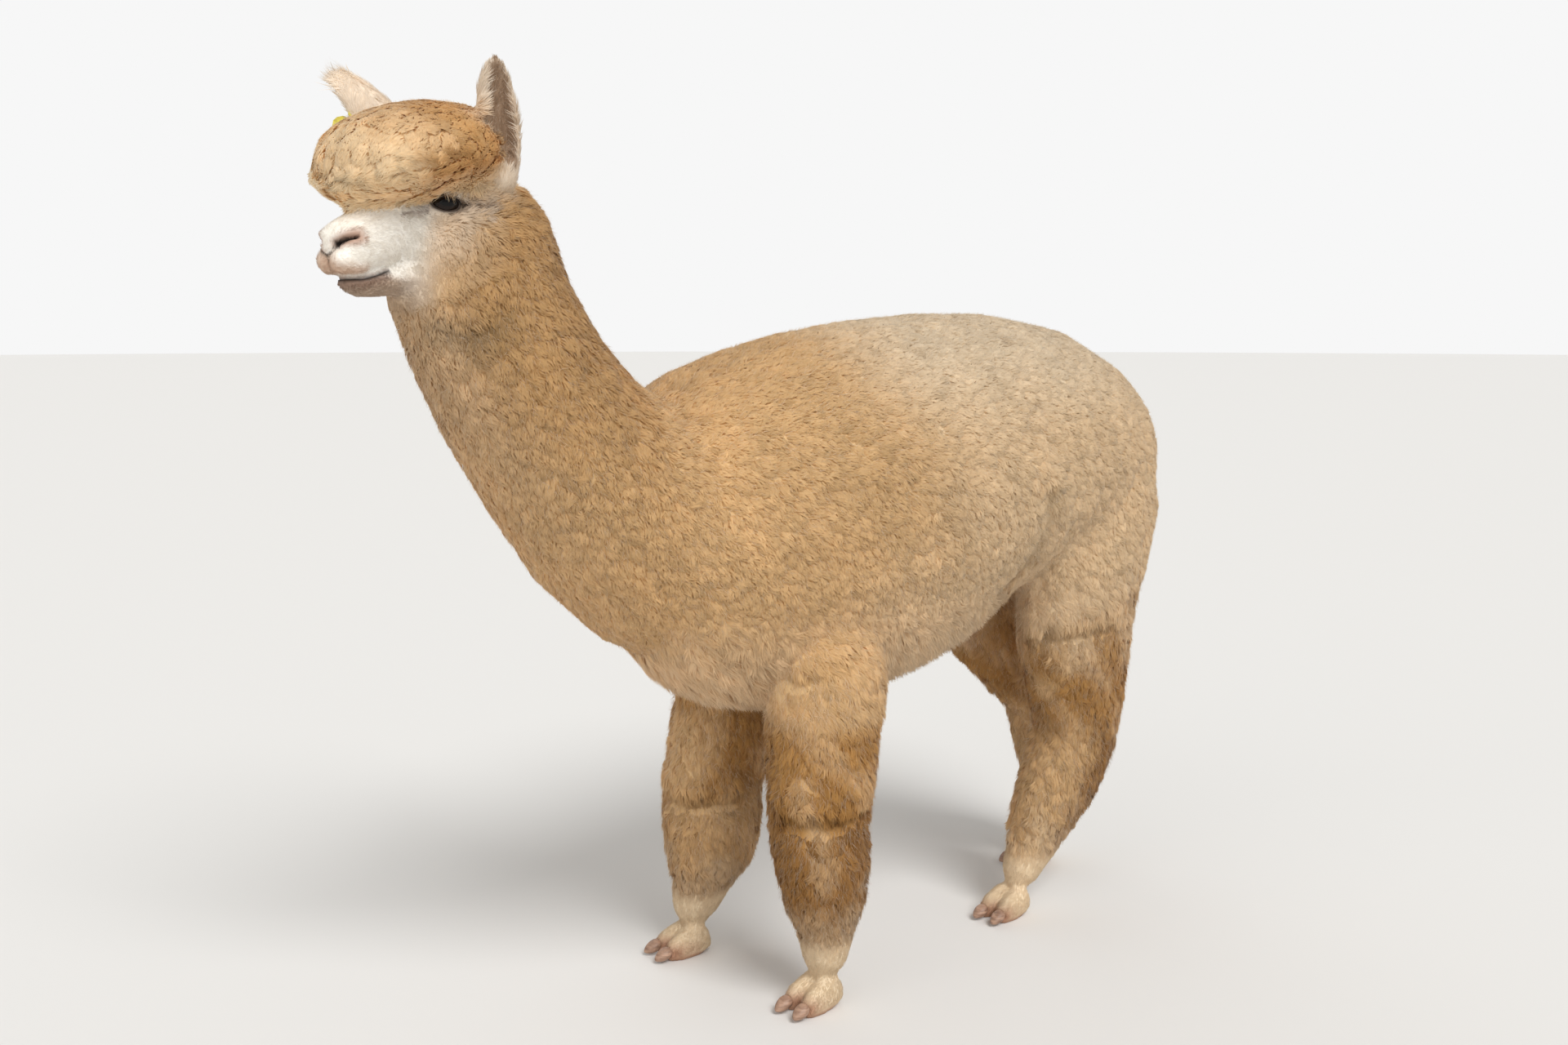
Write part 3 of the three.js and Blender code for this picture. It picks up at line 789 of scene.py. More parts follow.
# the skin's own shape laid flat, coarsely, for the places of the locks on the map OFBake
coarse = newObject("coarse", skin.data.copy())
fewer = coarse.modifiers.new("fewer", "DECIMATE")
fewer.ratio = skinSettings["shareInFlat"]
applyModifiers(coarse)
bpy.context.view_layer.objects.active = coarse
coarse.select_set(True)
bpy.ops.object.mode_set(mode="EDIT")
bpy.ops.mesh.select_all(action="SELECT")
bpy.ops.uv.smart_project(angle_limit=math.radians(60), island_margin=0.004)
bpy.ops.object.mode_set(mode="OBJECT")
coarseCorners = readTriangles(coarse.data)
coarsePoints = readMesh(coarse.data)
loops = readArray(coarse.data.loop_triangles, "loops", kind=np.int64)
coarseFlat = readArray(coarse.data.uv_layers.active.data, "uv", 2)[loops]
coarseTree = BVHTree.FromPolygons([Vector(p) for p in coarsePoints], coarseCorners.tolist())
bpy.data.objects.remove(coarse)
tell(f"skin unwrapped on {len(coarseCorners)} faces")


def flatPlace(place):
    # where each point lies on the skin laid flat
    found = [coarseTree.find_nearest(p) for p in place]
    face = np.array([hit[2] for hit in found])
    spot = np.array([hit[0] for hit in found])
    a, b, c = (coarsePoints[coarseCorners[face, i]] for i in range(3))
    whole = np.linalg.norm(np.cross(b - a, c - a), axis=1)
    first = np.linalg.norm(np.cross(b - spot, c - spot), axis=1) / whole
    second = np.linalg.norm(np.cross(c - spot, a - spot), axis=1) / whole
    weights = np.stack([first, second, np.maximum(1 - first - second, 0)], axis=1)
    return (coarseFlat[face] * weights[:, :, None]).sum(axis=1)


triangles = readTriangles(skin.data)
corners = skinPoints[triangles]
areas = np.cross(corners[:, 1] - corners[:, 0], corners[:, 2] - corners[:, 0])
areas = np.linalg.norm(areas, axis=1) / 2
tell(f"skin area {areas.sum():.2f} square metres")


def sowRoots(share, seed):
    # roots strewn over the skin, as many as the coat is thick; the share may differ from point to point
    rng = np.random.default_rng(seed)
    share = np.broadcast_to(share, thick.shape)[triangles].mean(axis=1)
    wanted = areas * thick[triangles].mean(axis=1) * 1000 * share
    count = np.floor(wanted + rng.random(len(wanted))).astype(int)
    face = np.repeat(np.arange(len(count)), count)
    weights = rng.random((len(face), 2))
    over = weights.sum(axis=1) > 1
    weights[over] = 1 - weights[over]
    return face, np.column_stack([weights, 1 - weights.sum(axis=1)])


def atRoots(values, face, weights):
    picked = np.asarray(values)[triangles[face]]
    if picked.ndim == 2:
        return np.einsum("ij,ij->i", picked, weights)
    return (picked * weights[:, :, None]).sum(axis=1)


coatSettings = {
    "share": 1.0,  # scales how many locks there are
    "wander": 0.20,  # how far a lock strays from the lie of the coat
    # painted light: rootShade above 1 lightens the roots of deep locks and the skin under them,
    # standing in for light scattered inside the fleece
    "rootShade": 1.04,
    "tipShade": 1.04,
    "rootSunk": 0.001,  # start of a lock under the skin
    "lowest": 0.0008,  # above the ground
    "sizeVaries": (0.80, 1.20),
    "widthVaries": (0.7, 1.25),
    "heightVaries": (0.93, 1.05),
    "clumpTones": 0.055,  # how much the clumps differ in tone
    "lockTones": 0.022,
    "specks": 0.012,  # share of the locks on the back that are bits of straw
    "hairs": 54,  # fine hairs over the locks, in thousands on a square metre
    "fuzz": 0.60,  # how far they stand out of the locks
    # painted light: a pale tone the fine hairs are mixed towards, standing in for light shining through
    # them
    "backlitPale": (0.88, 0.81, 0.71),  # what their colour tends to
    "softness": 0.86,  # how much the locks are shaded like the body under them
}

rng = np.random.default_rng(6)


def gatherRoots(face, weights):
    # everything a lock or hair needs to know about the place it grows from
    found = {
        "point": atRoots(skinPoints, face, weights),
        "normal": unit(atRoots(outward, face, weights)),
        "lie": atRoots(lie, face, weights),
        "depth": atRoots(depth * (1 - creased), face, weights),
        "length": atRoots(length, face, weights),
        **{key: atRoots(values, face, weights) for key, values in coatFields.items()},
        "colour": atRoots(skinColours, face, weights),
        "shell": atRoots(points, face, weights),
    }
    found["group"] = groupIndex[triangles[face, 0]]
    found["clumpSize"] = np.sqrt(1 / (math.pi * 1000 * np.maximum(found["clumps"], 1)))
    found["flat"] = flatPlace(found["point"])
    return found


def shareFor(number):
    # the share of the coat's thickness that gives a number, in thousands on a square metre
    return number / np.maximum(thick, 1) * (thick > 0)


roots = gatherRoots(*sowRoots(coatSettings["share"], 5))
hairRoots = gatherRoots(*sowRoots(shareFor(coatSettings["hairs"]), 8))
# bits of straw on the back: short, thin, brown locks
_, y, z = roots["shell"].T
speckled = (z > 0.90) & (np.abs(y) < 0.34) & (roots["group"] == 0)
speckled &= rng.uniform(0, 1, len(speckled)) < coatSettings["specks"]
roots["colour"][speckled] = tone(132, 100, 70)
roots["length"][speckled] *= 0.4
roots["width"][speckled] *= 0.45
tell(f"{len(roots['point'])} locks and {len(hairRoots['point'])} hairs sown")

# clumps: each lock leans towards the middle of the clump nearest to it
clumpPoints = atRoots(skinPoints, *sowRoots(shareFor(clumps), 7))
clumpTraits = {
    "clumpPoint": clumpPoints,
    "clumpShade": rng.normal(0, coatSettings["clumpTones"], len(clumpPoints)),
    "clumpHeight": rng.normal(0, 1, len(clumpPoints)),
    "clumpTurn": rng.normal(0, 1, len(clumpPoints)),
}
clumpTree = treeOf(clumpPoints)
nearest = [clumpTree.find(p)[1:] for p in roots["point"]]
clumpOf = np.array([hit[0] for hit in nearest])
roots["clumpGap"] = np.array([hit[1] for hit in nearest])
roots.update({key: values[clumpOf] for key, values in clumpTraits.items()})
roots["pale"] = smoothStep(0.009, 0.002, roots["depth"])
tell(f"{len(clumpPoints)} clumps")


def turnedBy(along, side, turn):
    # two directions turned in their own plane
    turn = turn[:, None]
    return along * np.cos(turn) + side * np.sin(turn), side * np.cos(turn) - along * np.sin(turn)


def lockFaces(count):
    # three triangles on the five points of each lock
    first = 5 * np.arange(count)[:, None, None]
    return (first + np.array(((0, 1, 3), (0, 3, 2), (2, 3, 4)))).reshape(-1, 3)


# a lock's outline in shares of its own size; pairs are for a straight lock and one folded back
lockShape = {
    "bendHeight": (0.70, 1.0),
    "tipHeight": (1.0, 0.66),
    "tipReach": (1.0, 0.62),
    "bendReach": 0.36,
    "rootWidth": 0.9,
    "leastReach": 0.30,
}


def growLocks(roots, seed):
    # one tapered, bent lock on each root
    rng = np.random.default_rng(seed)
    point, normal = roots["point"], roots["normal"]
    count = len(point)
    bunch = roots["bunch"]
    fold = roots["fold"]
    sunk = (roots["lie"] * normal).sum(axis=1) * (1 - roots["hang"])
    along = unit(roots["lie"] - normal * sunk[:, None])
    side = unit(np.cross(along, normal))
    turn = rng.normal(0, coatSettings["wander"], count) + 0.45 * roots["clumpTurn"]
    turn *= 0.4 + 0.8 * roots["curl"]
    along, side = turnedBy(along, side, turn)
    edge = np.minimum(roots["clumpGap"] / roots["clumpSize"], 1.2) ** 2  # 0 in the middle of its clump
    height = roots["depth"] * (1.0 - bunch * edge + 0.35 * bunch * roots["clumpHeight"])
    height = height * rng.uniform(*coatSettings["heightVaries"], count)
    height = np.clip(height, 0.0006, roots["depth"] * 1.15)
    size = roots["length"] * rng.uniform(*coatSettings["sizeVaries"], count)
    reach = np.sqrt(np.maximum(size**2 - height**2, (lockShape["leastReach"] * size) ** 2))
    wide = roots["width"] * rng.uniform(*coatSettings["widthVaries"], count)
    wave = roots["curl"] * rng.normal(0, 1, count) * wide
    gather = (roots["clumpPoint"] - point) * roots["gather"][:, None]
    gather -= normal * (gather * normal).sum(axis=1, keepdims=True)

    start = point - normal * coatSettings["rootSunk"]
    toBend = along * (reach * lockShape["bendReach"])[:, None]
    middle = point + normal * (height * mix(*lockShape["bendHeight"], fold))[:, None]
    middle += toBend + gather * 0.45 + side * (wave * 0.9)[:, None]
    toTip = along * (reach * mix(*lockShape["tipReach"], fold))[:, None]
    tip = point + normal * (height * mix(*lockShape["tipHeight"], fold))[:, None]
    tip += toTip + gather - side * (wave * 0.5)[:, None]
    half = side * (wide / 2)[:, None]
    halfRoot = half * lockShape["rootWidth"]
    outline = (start - halfRoot, start + halfRoot, middle - half, middle + half, tip)
    places = np.stack(outline, axis=1)
    places[:, :, 2] = np.maximum(places[:, :, 2], coatSettings["lowest"])

    soft = coatSettings["softness"]
    leftward = unit(normal * soft + (normal * 0.5 - side * 0.85) * (1 - soft))
    rightward = unit(normal * soft + (normal * 0.5 + side * 0.85) * (1 - soft))
    forward = unit(normal * soft + unit(normal * 0.85 + along * 0.5) * (1 - soft))
    away = unit(point - roots["clumpPoint"] + normal * 0.007)
    lean = np.minimum(3.6 * bunch, 0.90) * smoothStep(0.0025, 0.0055, roots["depth"])
    normals = np.stack((leftward, rightward, leftward, rightward, forward), axis=1)
    normals = unit(normals + (away * lean[:, None])[:, None, :])

    # painted shade: a lock darker towards its clump's edge and lighter on a higher clump; clumpShade
    # and lockTones are random tone
    shade = 1 + roots["clumpShade"] + 0.05 * bunch * roots["clumpHeight"] - 0.10 * bunch * edge
    shade = (shade + rng.normal(0, coatSettings["lockTones"], count))[:, None]
    # painted light at the roots of deep locks, painted shade at the roots of shallow ones
    deep = mix(coatSettings["rootShade"], 0.97, roots["pale"])
    midway = 0.5 * deep + 0.48
    rows = np.stack((deep, deep, midway, midway, np.full(count, coatSettings["tipShade"])), axis=1)
    colours = roots["colour"][:, None, :] * (shade * rows)[:, :, None] ** np.array((0.85, 1.0, 1.2))

    across = np.array((0, 1, 0, 1, 0.5)) - 0.5
    upward = np.array((0, 0, 0.5, 0.5, 1.0)) - 0.5
    patch = roots["flat"][:, None, :] + 0.003 * np.stack([across, upward], axis=1)
    strand = (
        rng.uniform(0, 40, count)[:, None] + across * (wide / 0.005)[:, None],
        rng.uniform(0, 40, count)[:, None] + upward * (size / 0.03)[:, None],
    )
    return {
        "points": places.reshape(-1, 3),
        "faces": lockFaces(count),
        "normals": normals.reshape(-1, 3),
        "colours": colours.reshape(-1, 3),
        "OFBake": np.clip(patch, 0, 1).reshape(-1, 2),
        "strand": np.stack(strand, axis=2).reshape(-1, 2),
    }


def growHairs(roots, seed):
    # one very fine hair on each root, standing a little out of the locks: a single long triangle
    rng = np.random.default_rng(seed)
    point, normal = roots["point"], roots["normal"]
    count = len(point)
    along = unit(roots["lie"] - normal * (roots["lie"] * normal).sum(axis=1, keepdims=True))
    along, side = turnedBy(along, np.cross(along, normal), rng.normal(0, 0.5, count))
    size = roots["length"] * rng.uniform(0.6, 1.0, count)
    rise = roots["depth"] * rng.uniform(0.95, 1.0 + coatSettings["fuzz"], count)
    start = point + normal * (roots["depth"] * 0.45)[:, None]
    tip = point + normal * rise[:, None] + along * (size * 0.7)[:, None]
    half = side * np.clip(roots["width"] * 0.13, 0.00022, 0.0005)[:, None]
    places = np.stack([start - half, start + half, tip], axis=1)
    places[:, :, 2] = np.maximum(places[:, :, 2], coatSettings["lowest"])
    colours = roots["colour"] * rng.uniform(0.92, 1.16, count)[:, None]
    # painted light: hairs paled as if lit through
    colours = mix(colours, coatSettings["backlitPale"], rng.uniform(0.0, 0.42, count))
    corner = np.array(((-0.5, -0.5), (0.5, -0.5), (0, 0.5)))
    patch = roots["flat"][:, None, :] + 0.003 * corner
    return {
        "points": places.reshape(-1, 3),
        "faces": np.arange(3 * count).reshape(-1, 3),
        "normals": np.repeat(unit(normal + along * 0.25), 3, axis=0),
        "colours": np.repeat(colours, 3, axis=0),
        "OFBake": np.clip(patch, 0, 1).reshape(-1, 2),
        "strand": (rng.uniform(0, 40, (count, 1, 2)) + corner * (0.2, 0.5)).reshape(-1, 2),
    }


def meshFromArrays(name, made):
    mesh = bpy.data.meshes.new(name)
    count = len(made["points"])
    faces = np.ascontiguousarray(made["faces"], dtype=np.int32)
    mesh.vertices.add(count)
    mesh.vertices.foreach_set("co", np.ascontiguousarray(made["points"]).ravel())
    mesh.loops.add(faces.size)
    mesh.loops.foreach_set("vertex_index", faces.ravel())
    mesh.polygons.add(len(faces))
    mesh.polygons.foreach_set("loop_start", np.arange(0, faces.size, 3, dtype=np.int32))
    mesh.update(calc_edges=True)
    smoothShaded(mesh)
    for layer in ("OFBake", "strand"):
        values = np.ascontiguousarray(made[layer][faces.ravel()])
        mesh.uv_layers.new(name=layer).data.foreach_set("uv", values.ravel())
    paint(mesh, made["colours"])
    mesh.normals_split_custom_set_from_vertices(made["normals"].tolist())
    mesh.update()
    return mesh


def paint(mesh, colours):
    layer = mesh.color_attributes.new("coatColour", "FLOAT_COLOR", "POINT")
    values = np.column_stack([np.clip(colours, 0, 1), np.ones(len(colours))])
    layer.data.foreach_set("color", np.ascontiguousarray(values).ravel())


coatPieces = []


def pieceOf(name, chosen, seed, sown=roots, grow=growLocks):
    picked = {key: value[chosen] for key, value in sown.items()}
    piece = newObject(name, meshFromArrays(name, grow(picked, seed)))
    coatPieces.append(piece)
    tell(f"{name}: {len(piece.data.polygons)} triangles")


def sidesOf(x):
    return {"left": x >= 0, "right": x < 0}.items()


x, y, _ = roots["shell"].T
groupIs = {g: roots["group"] == i for i, g in enumerate(groupNames)}
for sideIndex, (side, here) in enumerate(sidesOf(x)):
    lengthwise = {
        "shoulder": (y < 0.10, 28),
        "flank": ((y >= 0.10) & (y < 0.42), 25),
        "rump": (y >= 0.42, 24),
    }
    for stretch, (within, seed) in lengthwise.items():
        pieceOf(f"coat_{stretch}_{side}", groupIs["trunk"] & here & within, seed + 5 * sideIndex)
    pieceOf(f"coat_foreleg_{side}", groupIs["leg"] & here & (y < 0.15), 40 + sideIndex)
    pieceOf(f"coat_hindleg_{side}", groupIs["leg"] & here & (y >= 0.15), 50 + sideIndex)
neckSide = toHead(roots["shell"])[:, 0] > 0
pieceOf("coat_neck_left", groupIs["neck"] & neckSide, 60)
pieceOf("coat_neck_right", groupIs["neck"] & ~neckSide, 61)
pieceOf("coat_topknot", groupIs["topknot"], 62)
pieceOf("coat_face", groupIs["face"], 63)
pieceOf("coat_ears", groupIs["ear"], 64)
pieceOf("coat_feet", groupIs["foot"], 65)
hairX, hairY, _ = hairRoots["shell"].T
for index, (side, here) in enumerate(sidesOf(hairX)):
    pieceOf(f"hair_front_{side}", here & (hairY < -0.02), 70 + index, hairRoots, growHairs)
    pieceOf(f"hair_back_{side}", here & (hairY >= -0.02), 80 + index, hairRoots, growHairs)
tell(f"coat: {sum(len(p.data.polygons) for p in coatPieces)} triangles")

# the skin thinned where the coat hides it
guard = skin.vertex_groups.new(name="thin")
hidden = np.clip(0.10 + 1.2 * smoothStep(0.004, 0.012, depth), 0, 1)
hidden = np.where(isHead & (inHead[:, 1] < -0.02), np.minimum(hidden, 0.25), hidden)
hidden = np.where(eyeGap < skinSettings["aroundEye"], 0.08, hidden)
for level in np.unique(np.round(hidden, 1)):
    guard.add(np.nonzero(np.round(hidden, 1) == level)[0].tolist(), max(level, 0.02), "REPLACE")
thinner = skin.modifiers.new("thin", "DECIMATE")
thinner.ratio = skinSettings["share"]
thinner.vertex_group = "thin"
applyModifiers(skin)
skin.vertex_groups.clear()
tell(f"skin thinned to {len(readTriangles(skin.data))} triangles")
skinTree = treeOf(skinPoints)
nearestSkin = np.array([skinTree.find(v.co)[1] for v in skin.data.vertices])
# painted light: the skin under a deep coat lightened by rootShade, as the roots are
rootTone = 1 - (1 - coatSettings["rootShade"]) * smoothStep(0.003, 0.010, depth[nearestSkin])
paint(skin.data, skinColours[nearestSkin] * rootTone[:, None])
smoothShaded(skin.data)
tell("skin painted")


# shaders
def makeMaterial(name):
    material = bpy.data.materials.new(name)
    material.use_nodes = True
    tree = material.node_tree
    return material, tree, tree.nodes["Principled BSDF"]


def fillInputs(tree, node, values):
    # a number or a colour is set, another node's output is linked
    for key, value in values.items():
        if isinstance(value, bpy.types.NodeSocket):
            tree.links.new(value, node.inputs[key])
        else:
            node.inputs[key].default_value = value


def addNode(tree, kind, *inOrder, **values):
    # the node's own settings, then its inputs by name or in their order
    node = tree.nodes.new("ShaderNode" + kind)
    for key in [key for key in values if hasattr(node, key)]:
        setattr(node, key, values.pop(key))
    named = {key.replace("_", " "): value for key, value in values.items()}
    fillInputs(tree, node, {**dict(enumerate(inOrder)), **named})
    return node


def paintedColour(tree):
    return addNode(tree, "VertexColor", layer_name="coatColour").outputs["Color"]


def strandGroup():
    # fine strands along a lock: a colour and a height
    group = bpy.data.node_groups.new("strands", "ShaderNodeTree")
    for name, way, kind in (
        ("Vector", "INPUT", "Vector"),
        ("Colour", "INPUT", "Color"),
        ("Fineness", "INPUT", "Float"),
        ("Contrast", "INPUT", "Float"),
        ("Colour", "OUTPUT", "Color"),
        ("Height", "OUTPUT", "Float"),
    ):
        group.interface.new_socket(name, in_out=way, socket_type="NodeSocket" + kind)
    given = group.nodes.new("NodeGroupInput").outputs
    vector, colour, fineness, contrast = (given[i] for i in range(4))
    noise = addNode(group, "TexNoise", Vector=vector, Scale=fineness, Detail=2.0, Roughness=0.6)
    height = noise.outputs["Fac"]
    evened = addNode(group, "MapRange", Value=height, From_Min=0.3, From_Max=0.7).outputs["Result"]
    lowered = addNode(group, "Math", contrast, -0.55, 1.0, operation="MULTIPLY_ADD").outputs[0]
    shade = addNode(group, "Math", evened, contrast, lowered, operation="MULTIPLY_ADD").outputs[0]
    tinted = addNode(group, "VectorMath", colour, operation="SCALE", Scale=shade)
    result = group.nodes.new("NodeGroupOutput")
    fillInputs(group, result, {"Colour": tinted.outputs[0], "Height": height})
    return group


strands = strandGroup()


def strandEffect(tree, vector, turn, stretch, fineness, contrast):
    # the painted colour, broken up by strands
    place = addNode(tree, "Mapping", Vector=vector, Rotation=turn, Scale=(1.0, stretch, 1.0))
    effect = addNode(tree, "Group", node_tree=strands)
    given = {"Vector": place.outputs["Vector"], "Colour": paintedColour(tree)}
    fillInputs(tree, effect, {**given, "Fineness": fineness, "Contrast": contrast})
    return effect.outputs


def fleeceMaterial(name, fineness, contrast, roughness, sheen):
    material, tree, shader = makeMaterial(name)
    strandMap = addNode(tree, "UVMap", uv_map="strand").outputs["UV"]
    colour = strandEffect(tree, strandMap, (0, 0, 0), 0.16, fineness, contrast)["Colour"]
    finish = {"Roughness": roughness, "Sheen Weight": sheen, "Sheen Roughness": 0.5}
    fillInputs(tree, shader, {"Base Color": colour, "Specular IOR Level": 0.25, **finish})
    # the underside of a lock glows with the light that falls on its outer side
    pale = addNode(tree, "HueSaturation", Saturation=0.85, Color=colour)
    glow = addNode(tree, "BsdfTranslucent", Color=pale.outputs["Color"])
    underside = addNode(tree, "NewGeometry").outputs["Backfacing"]
    share = addNode(tree, "Math", underside, 0.70, 0.30, operation="MULTIPLY_ADD")
    both = addNode(tree, "MixShader", share.outputs[0], shader.outputs[0], glow.outputs[0])
    fillInputs(tree, tree.nodes["Material Output"], {"Surface": both.outputs[0]})
    return material


fleece = fleeceMaterial("fleece", fineness=6.0, contrast=0.18, roughness=0.92, sheen=0.12)
shortHair = fleeceMaterial("short hair", fineness=4.0, contrast=0.16, roughness=0.80, sheen=0.05)


def skinMaterial():
    material, tree, shader = makeMaterial("skin")
    place = addNode(tree, "TexCoord").outputs["Object"]
    effect = strandEffect(tree, place, (0, 0, -headYaw), stretch=0.22, fineness=900, contrast=0.16)
    bump = addNode(tree, "Bump", Strength=0.6, Distance=0.0005, Height=effect["Height"])
    finish = {"Normal": bump.outputs["Normal"], "Roughness": 0.72, "Specular IOR Level": 0.3}
    fillInputs(tree, shader, {"Base Color": effect["Colour"], **finish})
    return material


def grainyMaterial(name, dark, light, grainScale, detail, stretch=(1, 1, 1), relief=0):
    # two tones, each with its place between 0 and 1, laid over each other by a fine noise
    material, tree, shader = makeMaterial(name)
    place = addNode(tree, "TexCoord").outputs["Object"]
    place = addNode(tree, "Mapping", Vector=place, Scale=stretch).outputs["Vector"]
    grain = addNode(tree, "TexNoise", Vector=place, Scale=grainScale, Detail=detail).outputs["Fac"]
    ramp = addNode(tree, "ValToRGB", Fac=grain)
    for element, (position, colour) in zip(ramp.color_ramp.elements, (dark, light)):
        element.position = position
        element.color = (*colour, 1)
    fillInputs(tree, shader, {"Base Color": ramp.outputs["Color"], "Roughness": 0.5})
    if relief:
        bump = addNode(tree, "Bump", Strength=relief, Distance=0.0004, Height=grain)
        fillInputs(tree, shader, {"Normal": bump.outputs["Normal"]})
    return material


skin.data.materials.clear()
skin.data.materials.append(skinMaterial())
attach(skin, "root")
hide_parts(*fleshNodes)
shortPieces = {"coat_face", "coat_ears", "coat_feet"}
for piece in coatPieces:
    piece.data.materials.append(shortHair if piece.name in shortPieces else fleece)
    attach(piece, "root")

# eyes
eyeSettings = {
    "iris": 36,  # half its width, in degrees
    "pupil": (26, 13),  # half width and height, in degrees
    "cornea": 0.0011,  # how far it bulges
    "corneaReach": (42, 20),  # its edge and where it has its full bulge, in degrees
    "inset": 0.0002,  # of the ball within the CAD's
    "tones": (tone(8, 6, 5), tone(30, 18, 11), tone(22, 15, 12)),  # pupil, iris, round the iris
}


def eyeMaterial():
    material, tree, shader = makeMaterial("wet eye")
    finish = {"Roughness": 0.07, "Specular IOR Level": 0.22}
    fillInputs(tree, shader, {"Base Color": paintedColour(tree), **finish})
    return material


wetEye = eyeMaterial()
for side, sign in (("left", 1), ("right", -1)):
    ball = bmesh.new()
    radius = eyeRadius - eyeSettings["inset"]
    bmesh.ops.create_uvsphere(ball, u_segments=72, v_segments=48, radius=radius)
    gaze, forwardAxis = eyeAxes(sign)
    place = np.array([v.co for v in ball.verts])
    facing = np.degrees(np.arccos(np.clip(unit(place) @ gaze, -1, 1)))
    level = np.degrees(np.arcsin(np.clip(unit(place) @ forwardAxis, -1, 1)))
    rise = np.degrees(np.arcsin(np.clip(unit(place)[:, 2], -1, 1))) - lidSettings["tilt"] * level
    pupil = np.linalg.norm(np.column_stack([level, rise]) / eyeSettings["pupil"], axis=1)
    pupilTone, irisTone, outerTone = eyeSettings["tones"]
    colours = mix(pupilTone, irisTone, smoothStep(0.9, 1.15, pupil))
    irisEdge = smoothStep(eyeSettings["iris"] - 4, eyeSettings["iris"] + 4, facing)
    colours = mix(colours, outerTone, irisEdge)
    bulge = eyeSettings["cornea"] * smoothStep(*eyeSettings["corneaReach"], facing)
    swollen = place + gaze * bulge[:, None]
    for vertex, spot in zip(ball.verts, fromHead(swollen + eyeAt(sign))):
        vertex.co = spot
    mesh = meshOf(ball, "eyeball_" + side)
    paint(mesh, colours)
    smoothShaded(mesh)
    eyeball = newObject("eyeball_" + side, mesh)
    mesh.materials.append(wetEye)
    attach(eyeball, "root")
    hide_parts("eye_" + side)

# lashes along the upper lids, drooping over the eye
lashSettings = {
    "perEye": 60,
    "across": (-52, 56),  # the stretch of the lid, in degrees
    "length": 0.014,
    "width": 0.0006,
    "fromBall": 0.0014,  # where they start
    "tones": (tone(206, 184, 150), tone(58, 40, 30)),
}
lashRng = np.random.default_rng(31)


def lashesOf(side):
    # in the head's frame: three places along each lash, its flat direction and whether it is pale
    out, forwardAxis = eyeAxes(side)
    across = np.linspace(*lashSettings["across"], lashSettings["perEye"])
    across = np.radians(across + lashRng.normal(0, 1.5, len(across)))
    share = np.clip(1 - (np.abs(np.degrees(across)) / lidSettings["halfWidth"]) ** 1.8, 0, 1)
    rise = np.radians(lidSettings["above"] * np.sqrt(share) + 1.0) + lidSettings["tilt"] * across
    out = np.cos(across)[:, None] * out + np.sin(across)[:, None] * forwardAxis
    out = out * np.cos(rise)[:, None] + np.sin(rise)[:, None] * np.array((0, 0, 1))
    start = eyeAt(side) + out * (eyeRadius + lashSettings["fromBall"])
    size = lashSettings["length"] * lashRng.uniform(0.7, 1.15, len(start))[:, None]
    stray = lashRng.normal(0, 0.16, start.shape)
    return {
        "start": start,
        "middle": start + size * 0.5 * unit(out + (0, 0, 0.05) + stray),
        "tip": start + size * unit(out * 0.85 + (0, 0, -0.55) + stray),
        "side": unit(np.cross(out, (0, 0, 1.0))),
        "pale": lashRng.uniform(0, 1, len(start)) < 0.45 + 0.5 * np.degrees(across) / 60,
    }


lash = [lashesOf(side) for side in (1, -1)]
lash = {key: np.concatenate([rows[key] for rows in lash]) for key in lash[0]}
start, middle, tip = lash["start"], lash["middle"], lash["tip"]
half = lash["side"] * lashSettings["width"] / 2
outline = (start - half, start + half, middle - half * 0.7, middle + half * 0.7, tip)
corner = np.array(((-1, -1), (1, -1), (-1, 0), (1, 0), (0, 1)))
patch = flatPlace(fromHead(start))[:, None, :] + 0.0015 * corner
lashMesh = meshFromArrays(
    "lashes",
    {
        "points": fromHead(np.stack(outline, axis=1).reshape(-1, 3)),
        "faces": lockFaces(len(start)),
        "normals": np.repeat(unit(tip - start + (0, 0, 0.02)) @ headAxes, 5, axis=0),
        "colours": np.repeat(np.where(lash["pale"][:, None], *lashSettings["tones"]), 5, axis=0),
        "OFBake": patch.reshape(-1, 2),
        "strand": np.tile((corner + 1) * (0.05, 0.5), (len(start), 1)),
    },
)
lashes = newObject("lashes", lashMesh)
lashMesh.materials.append(shortHair)
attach(lashes, "root")
tell("eyes and lashes made")

# nails, rounded from the CAD's own
nailSettings = {
    "smoothing": 2,
    "dark": (0.3, tone(128, 98, 80)),
    "light": (0.7, tone(188, 152, 128)),
}
horn = grainyMaterial(
    "horn", nailSettings["dark"], nailSettings["light"],
    grainScale=160.0, detail=3.0, stretch=(0.35, 0.35, 1.6), relief=0.5,
)
for name in [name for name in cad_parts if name.startswith("nail_")]:
    nail = newObject(name.replace("nail", "horn"), weldedMesh(name, name.replace("nail", "horn")))
    rounded = nail.modifiers.new("rounded", "SUBSURF")
    rounded.levels = rounded.render_levels = nailSettings["smoothing"]
    applyModifiers(nail)
    # stretched back to the box that the CAD gives it
    smooth = readMesh(nail.data)
    low, high = (np.array(corner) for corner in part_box(name))
    smoothLow, smoothHigh = smooth.min(axis=0), smooth.max(axis=0)
    writeMesh(nail.data, low + (smooth - smoothLow) * (high - low) / (smoothHigh - smoothLow))
    nail.data.materials.clear()
    nail.data.materials.append(horn)
    smoothShaded(nail.data)
    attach(nail, "root")
    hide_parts(name)

# ear tag: plain weathered yellow
tagSettings = {"dark": (0.34, tone(174, 158, 32)), "light": (0.56, tone(206, 190, 30))}
tagYellow = grainyMaterial(
    "tag yellow", tagSettings["dark"], tagSettings["light"], grainScale=140.0, detail=4.0,
)
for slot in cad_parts["ear_tag"].material_slots:
    slot.material = tagYellow
tell("nails and tag finished")

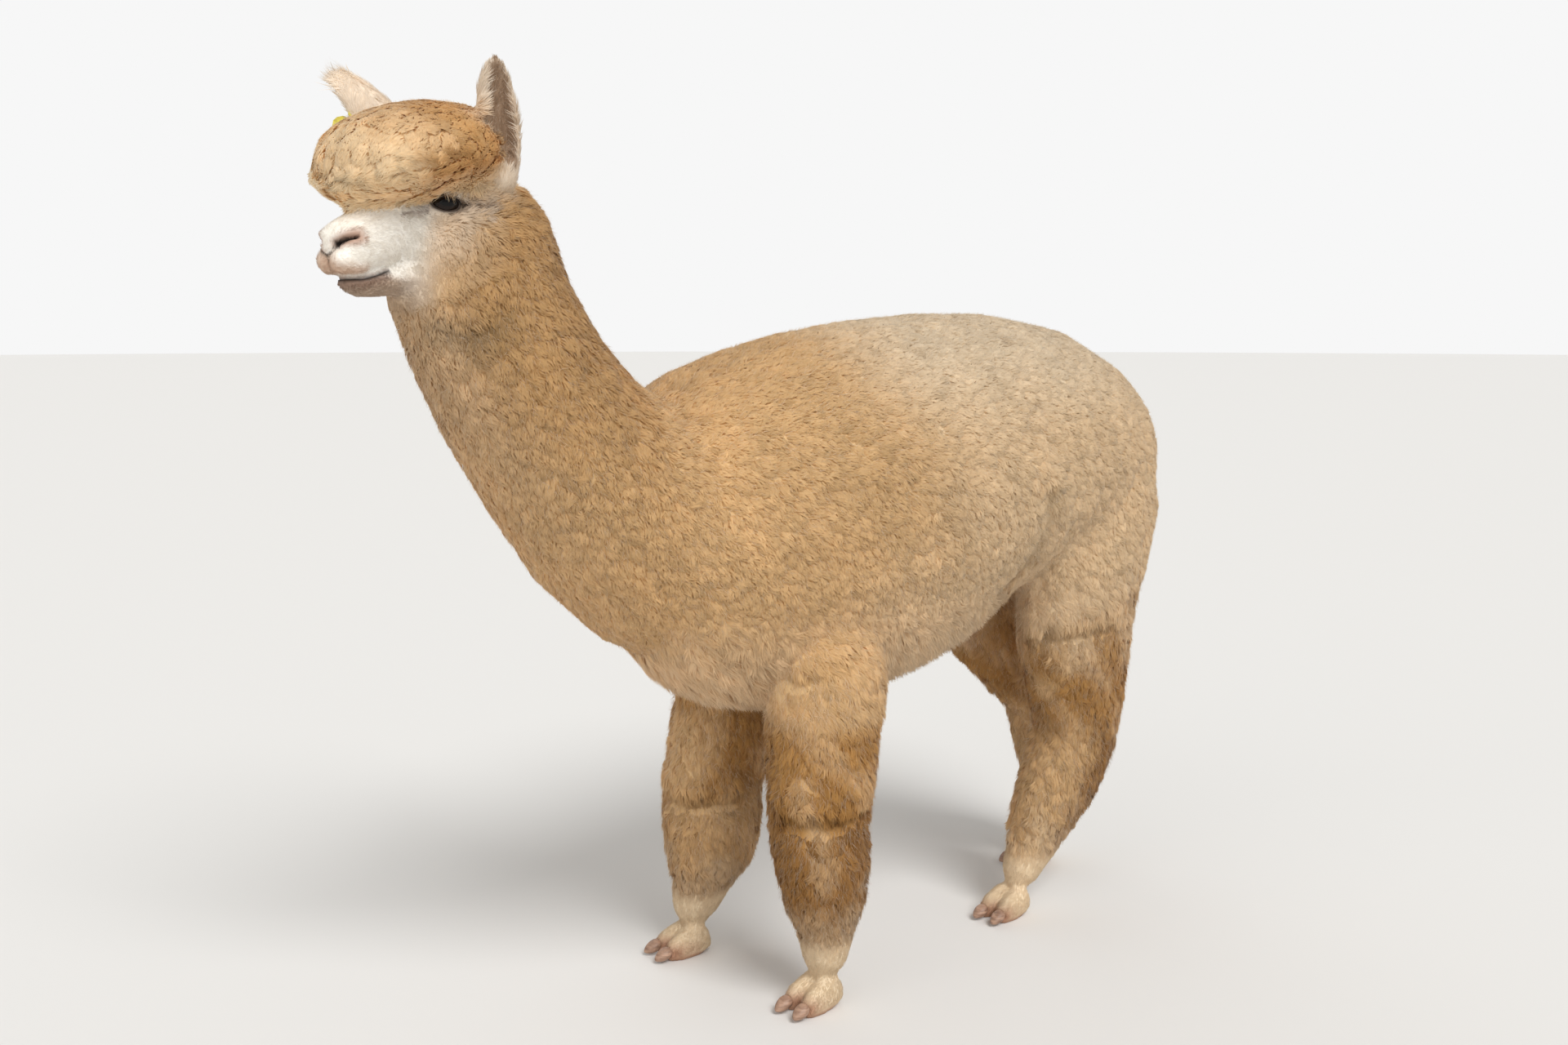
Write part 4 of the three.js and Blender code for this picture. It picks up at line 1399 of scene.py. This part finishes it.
# floor, light and camera
floorMesh = bmesh.new()
bmesh.ops.create_circle(floorMesh, cap_ends=True, segments=96, radius=60)
floor = newObject("floor", meshOf(floorMesh, "floor"))
floorPaint, tree, shader = makeMaterial("pale floor")
fillInputs(tree, shader, {"Base Color": (0.78, 0.77, 0.75, 1), "Roughness": 0.9})
floor.data.materials.append(floorPaint)
floor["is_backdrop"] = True

lightSettings = {
    # direction towards the lamp, strength, softness in degrees
    "key": ((0.86, -0.10, 0.95), 2.08, 28),
    "fill": ((0.35, -1.0, 0.40), 0.60, 60),
    "rim": ((-0.9, 0.3, 0.8), 0.25, 50),
}
for name, (towards, strength, softness) in lightSettings.items():
    data = bpy.data.lights.new(name, "SUN")
    data.energy = strength
    data.angle = math.radians(softness)
    lamp = newObject(name, data)
    lamp.rotation_euler = Vector(towards).to_track_quat("Z", "Y").to_euler()

worldSettings = {"light": (1.0, 0.99, 0.97), "strength": 0.485, "seen": (0.93, 0.93, 0.93)}
world = bpy.data.worlds.new("studio")
bpy.context.scene.world = world
world.use_nodes = True
tree = world.node_tree
tree.nodes.clear()
ambient = addNode(
    tree, "Background", Color=(*worldSettings["light"], 1), Strength=worldSettings["strength"]
)
seen = addNode(tree, "Background", Color=(*worldSettings["seen"], 1))
seenDirectly = addNode(tree, "LightPath").outputs["Is Camera Ray"]
both = addNode(tree, "MixShader", seenDirectly, ambient.outputs[0], seen.outputs[0])
addNode(tree, "OutputWorld", both.outputs[0])

cameraSettings = {
    "place": (1.795, -1.4458, 1.040),
    "heading": (-0.788, 0.616),
    "pitch": 7.595,  # degrees below level
    "lens": 33.75,
}
cameraData = bpy.data.cameras.new("camera")
cameraData.lens = cameraSettings["lens"]
camera = newObject("camera", cameraData)
camera.location = cameraSettings["place"]
pitch = math.radians(cameraSettings["pitch"])
heading = cameraSettings["heading"]
look = Vector((heading[0] * math.cos(pitch), heading[1] * math.cos(pitch), -math.sin(pitch)))
camera.rotation_euler = look.to_track_quat("-Z", "Y").to_euler()
bpy.context.scene.camera = camera
bpy.context.scene.view_settings.view_transform = "Standard"

low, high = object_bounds()
tell("finished")
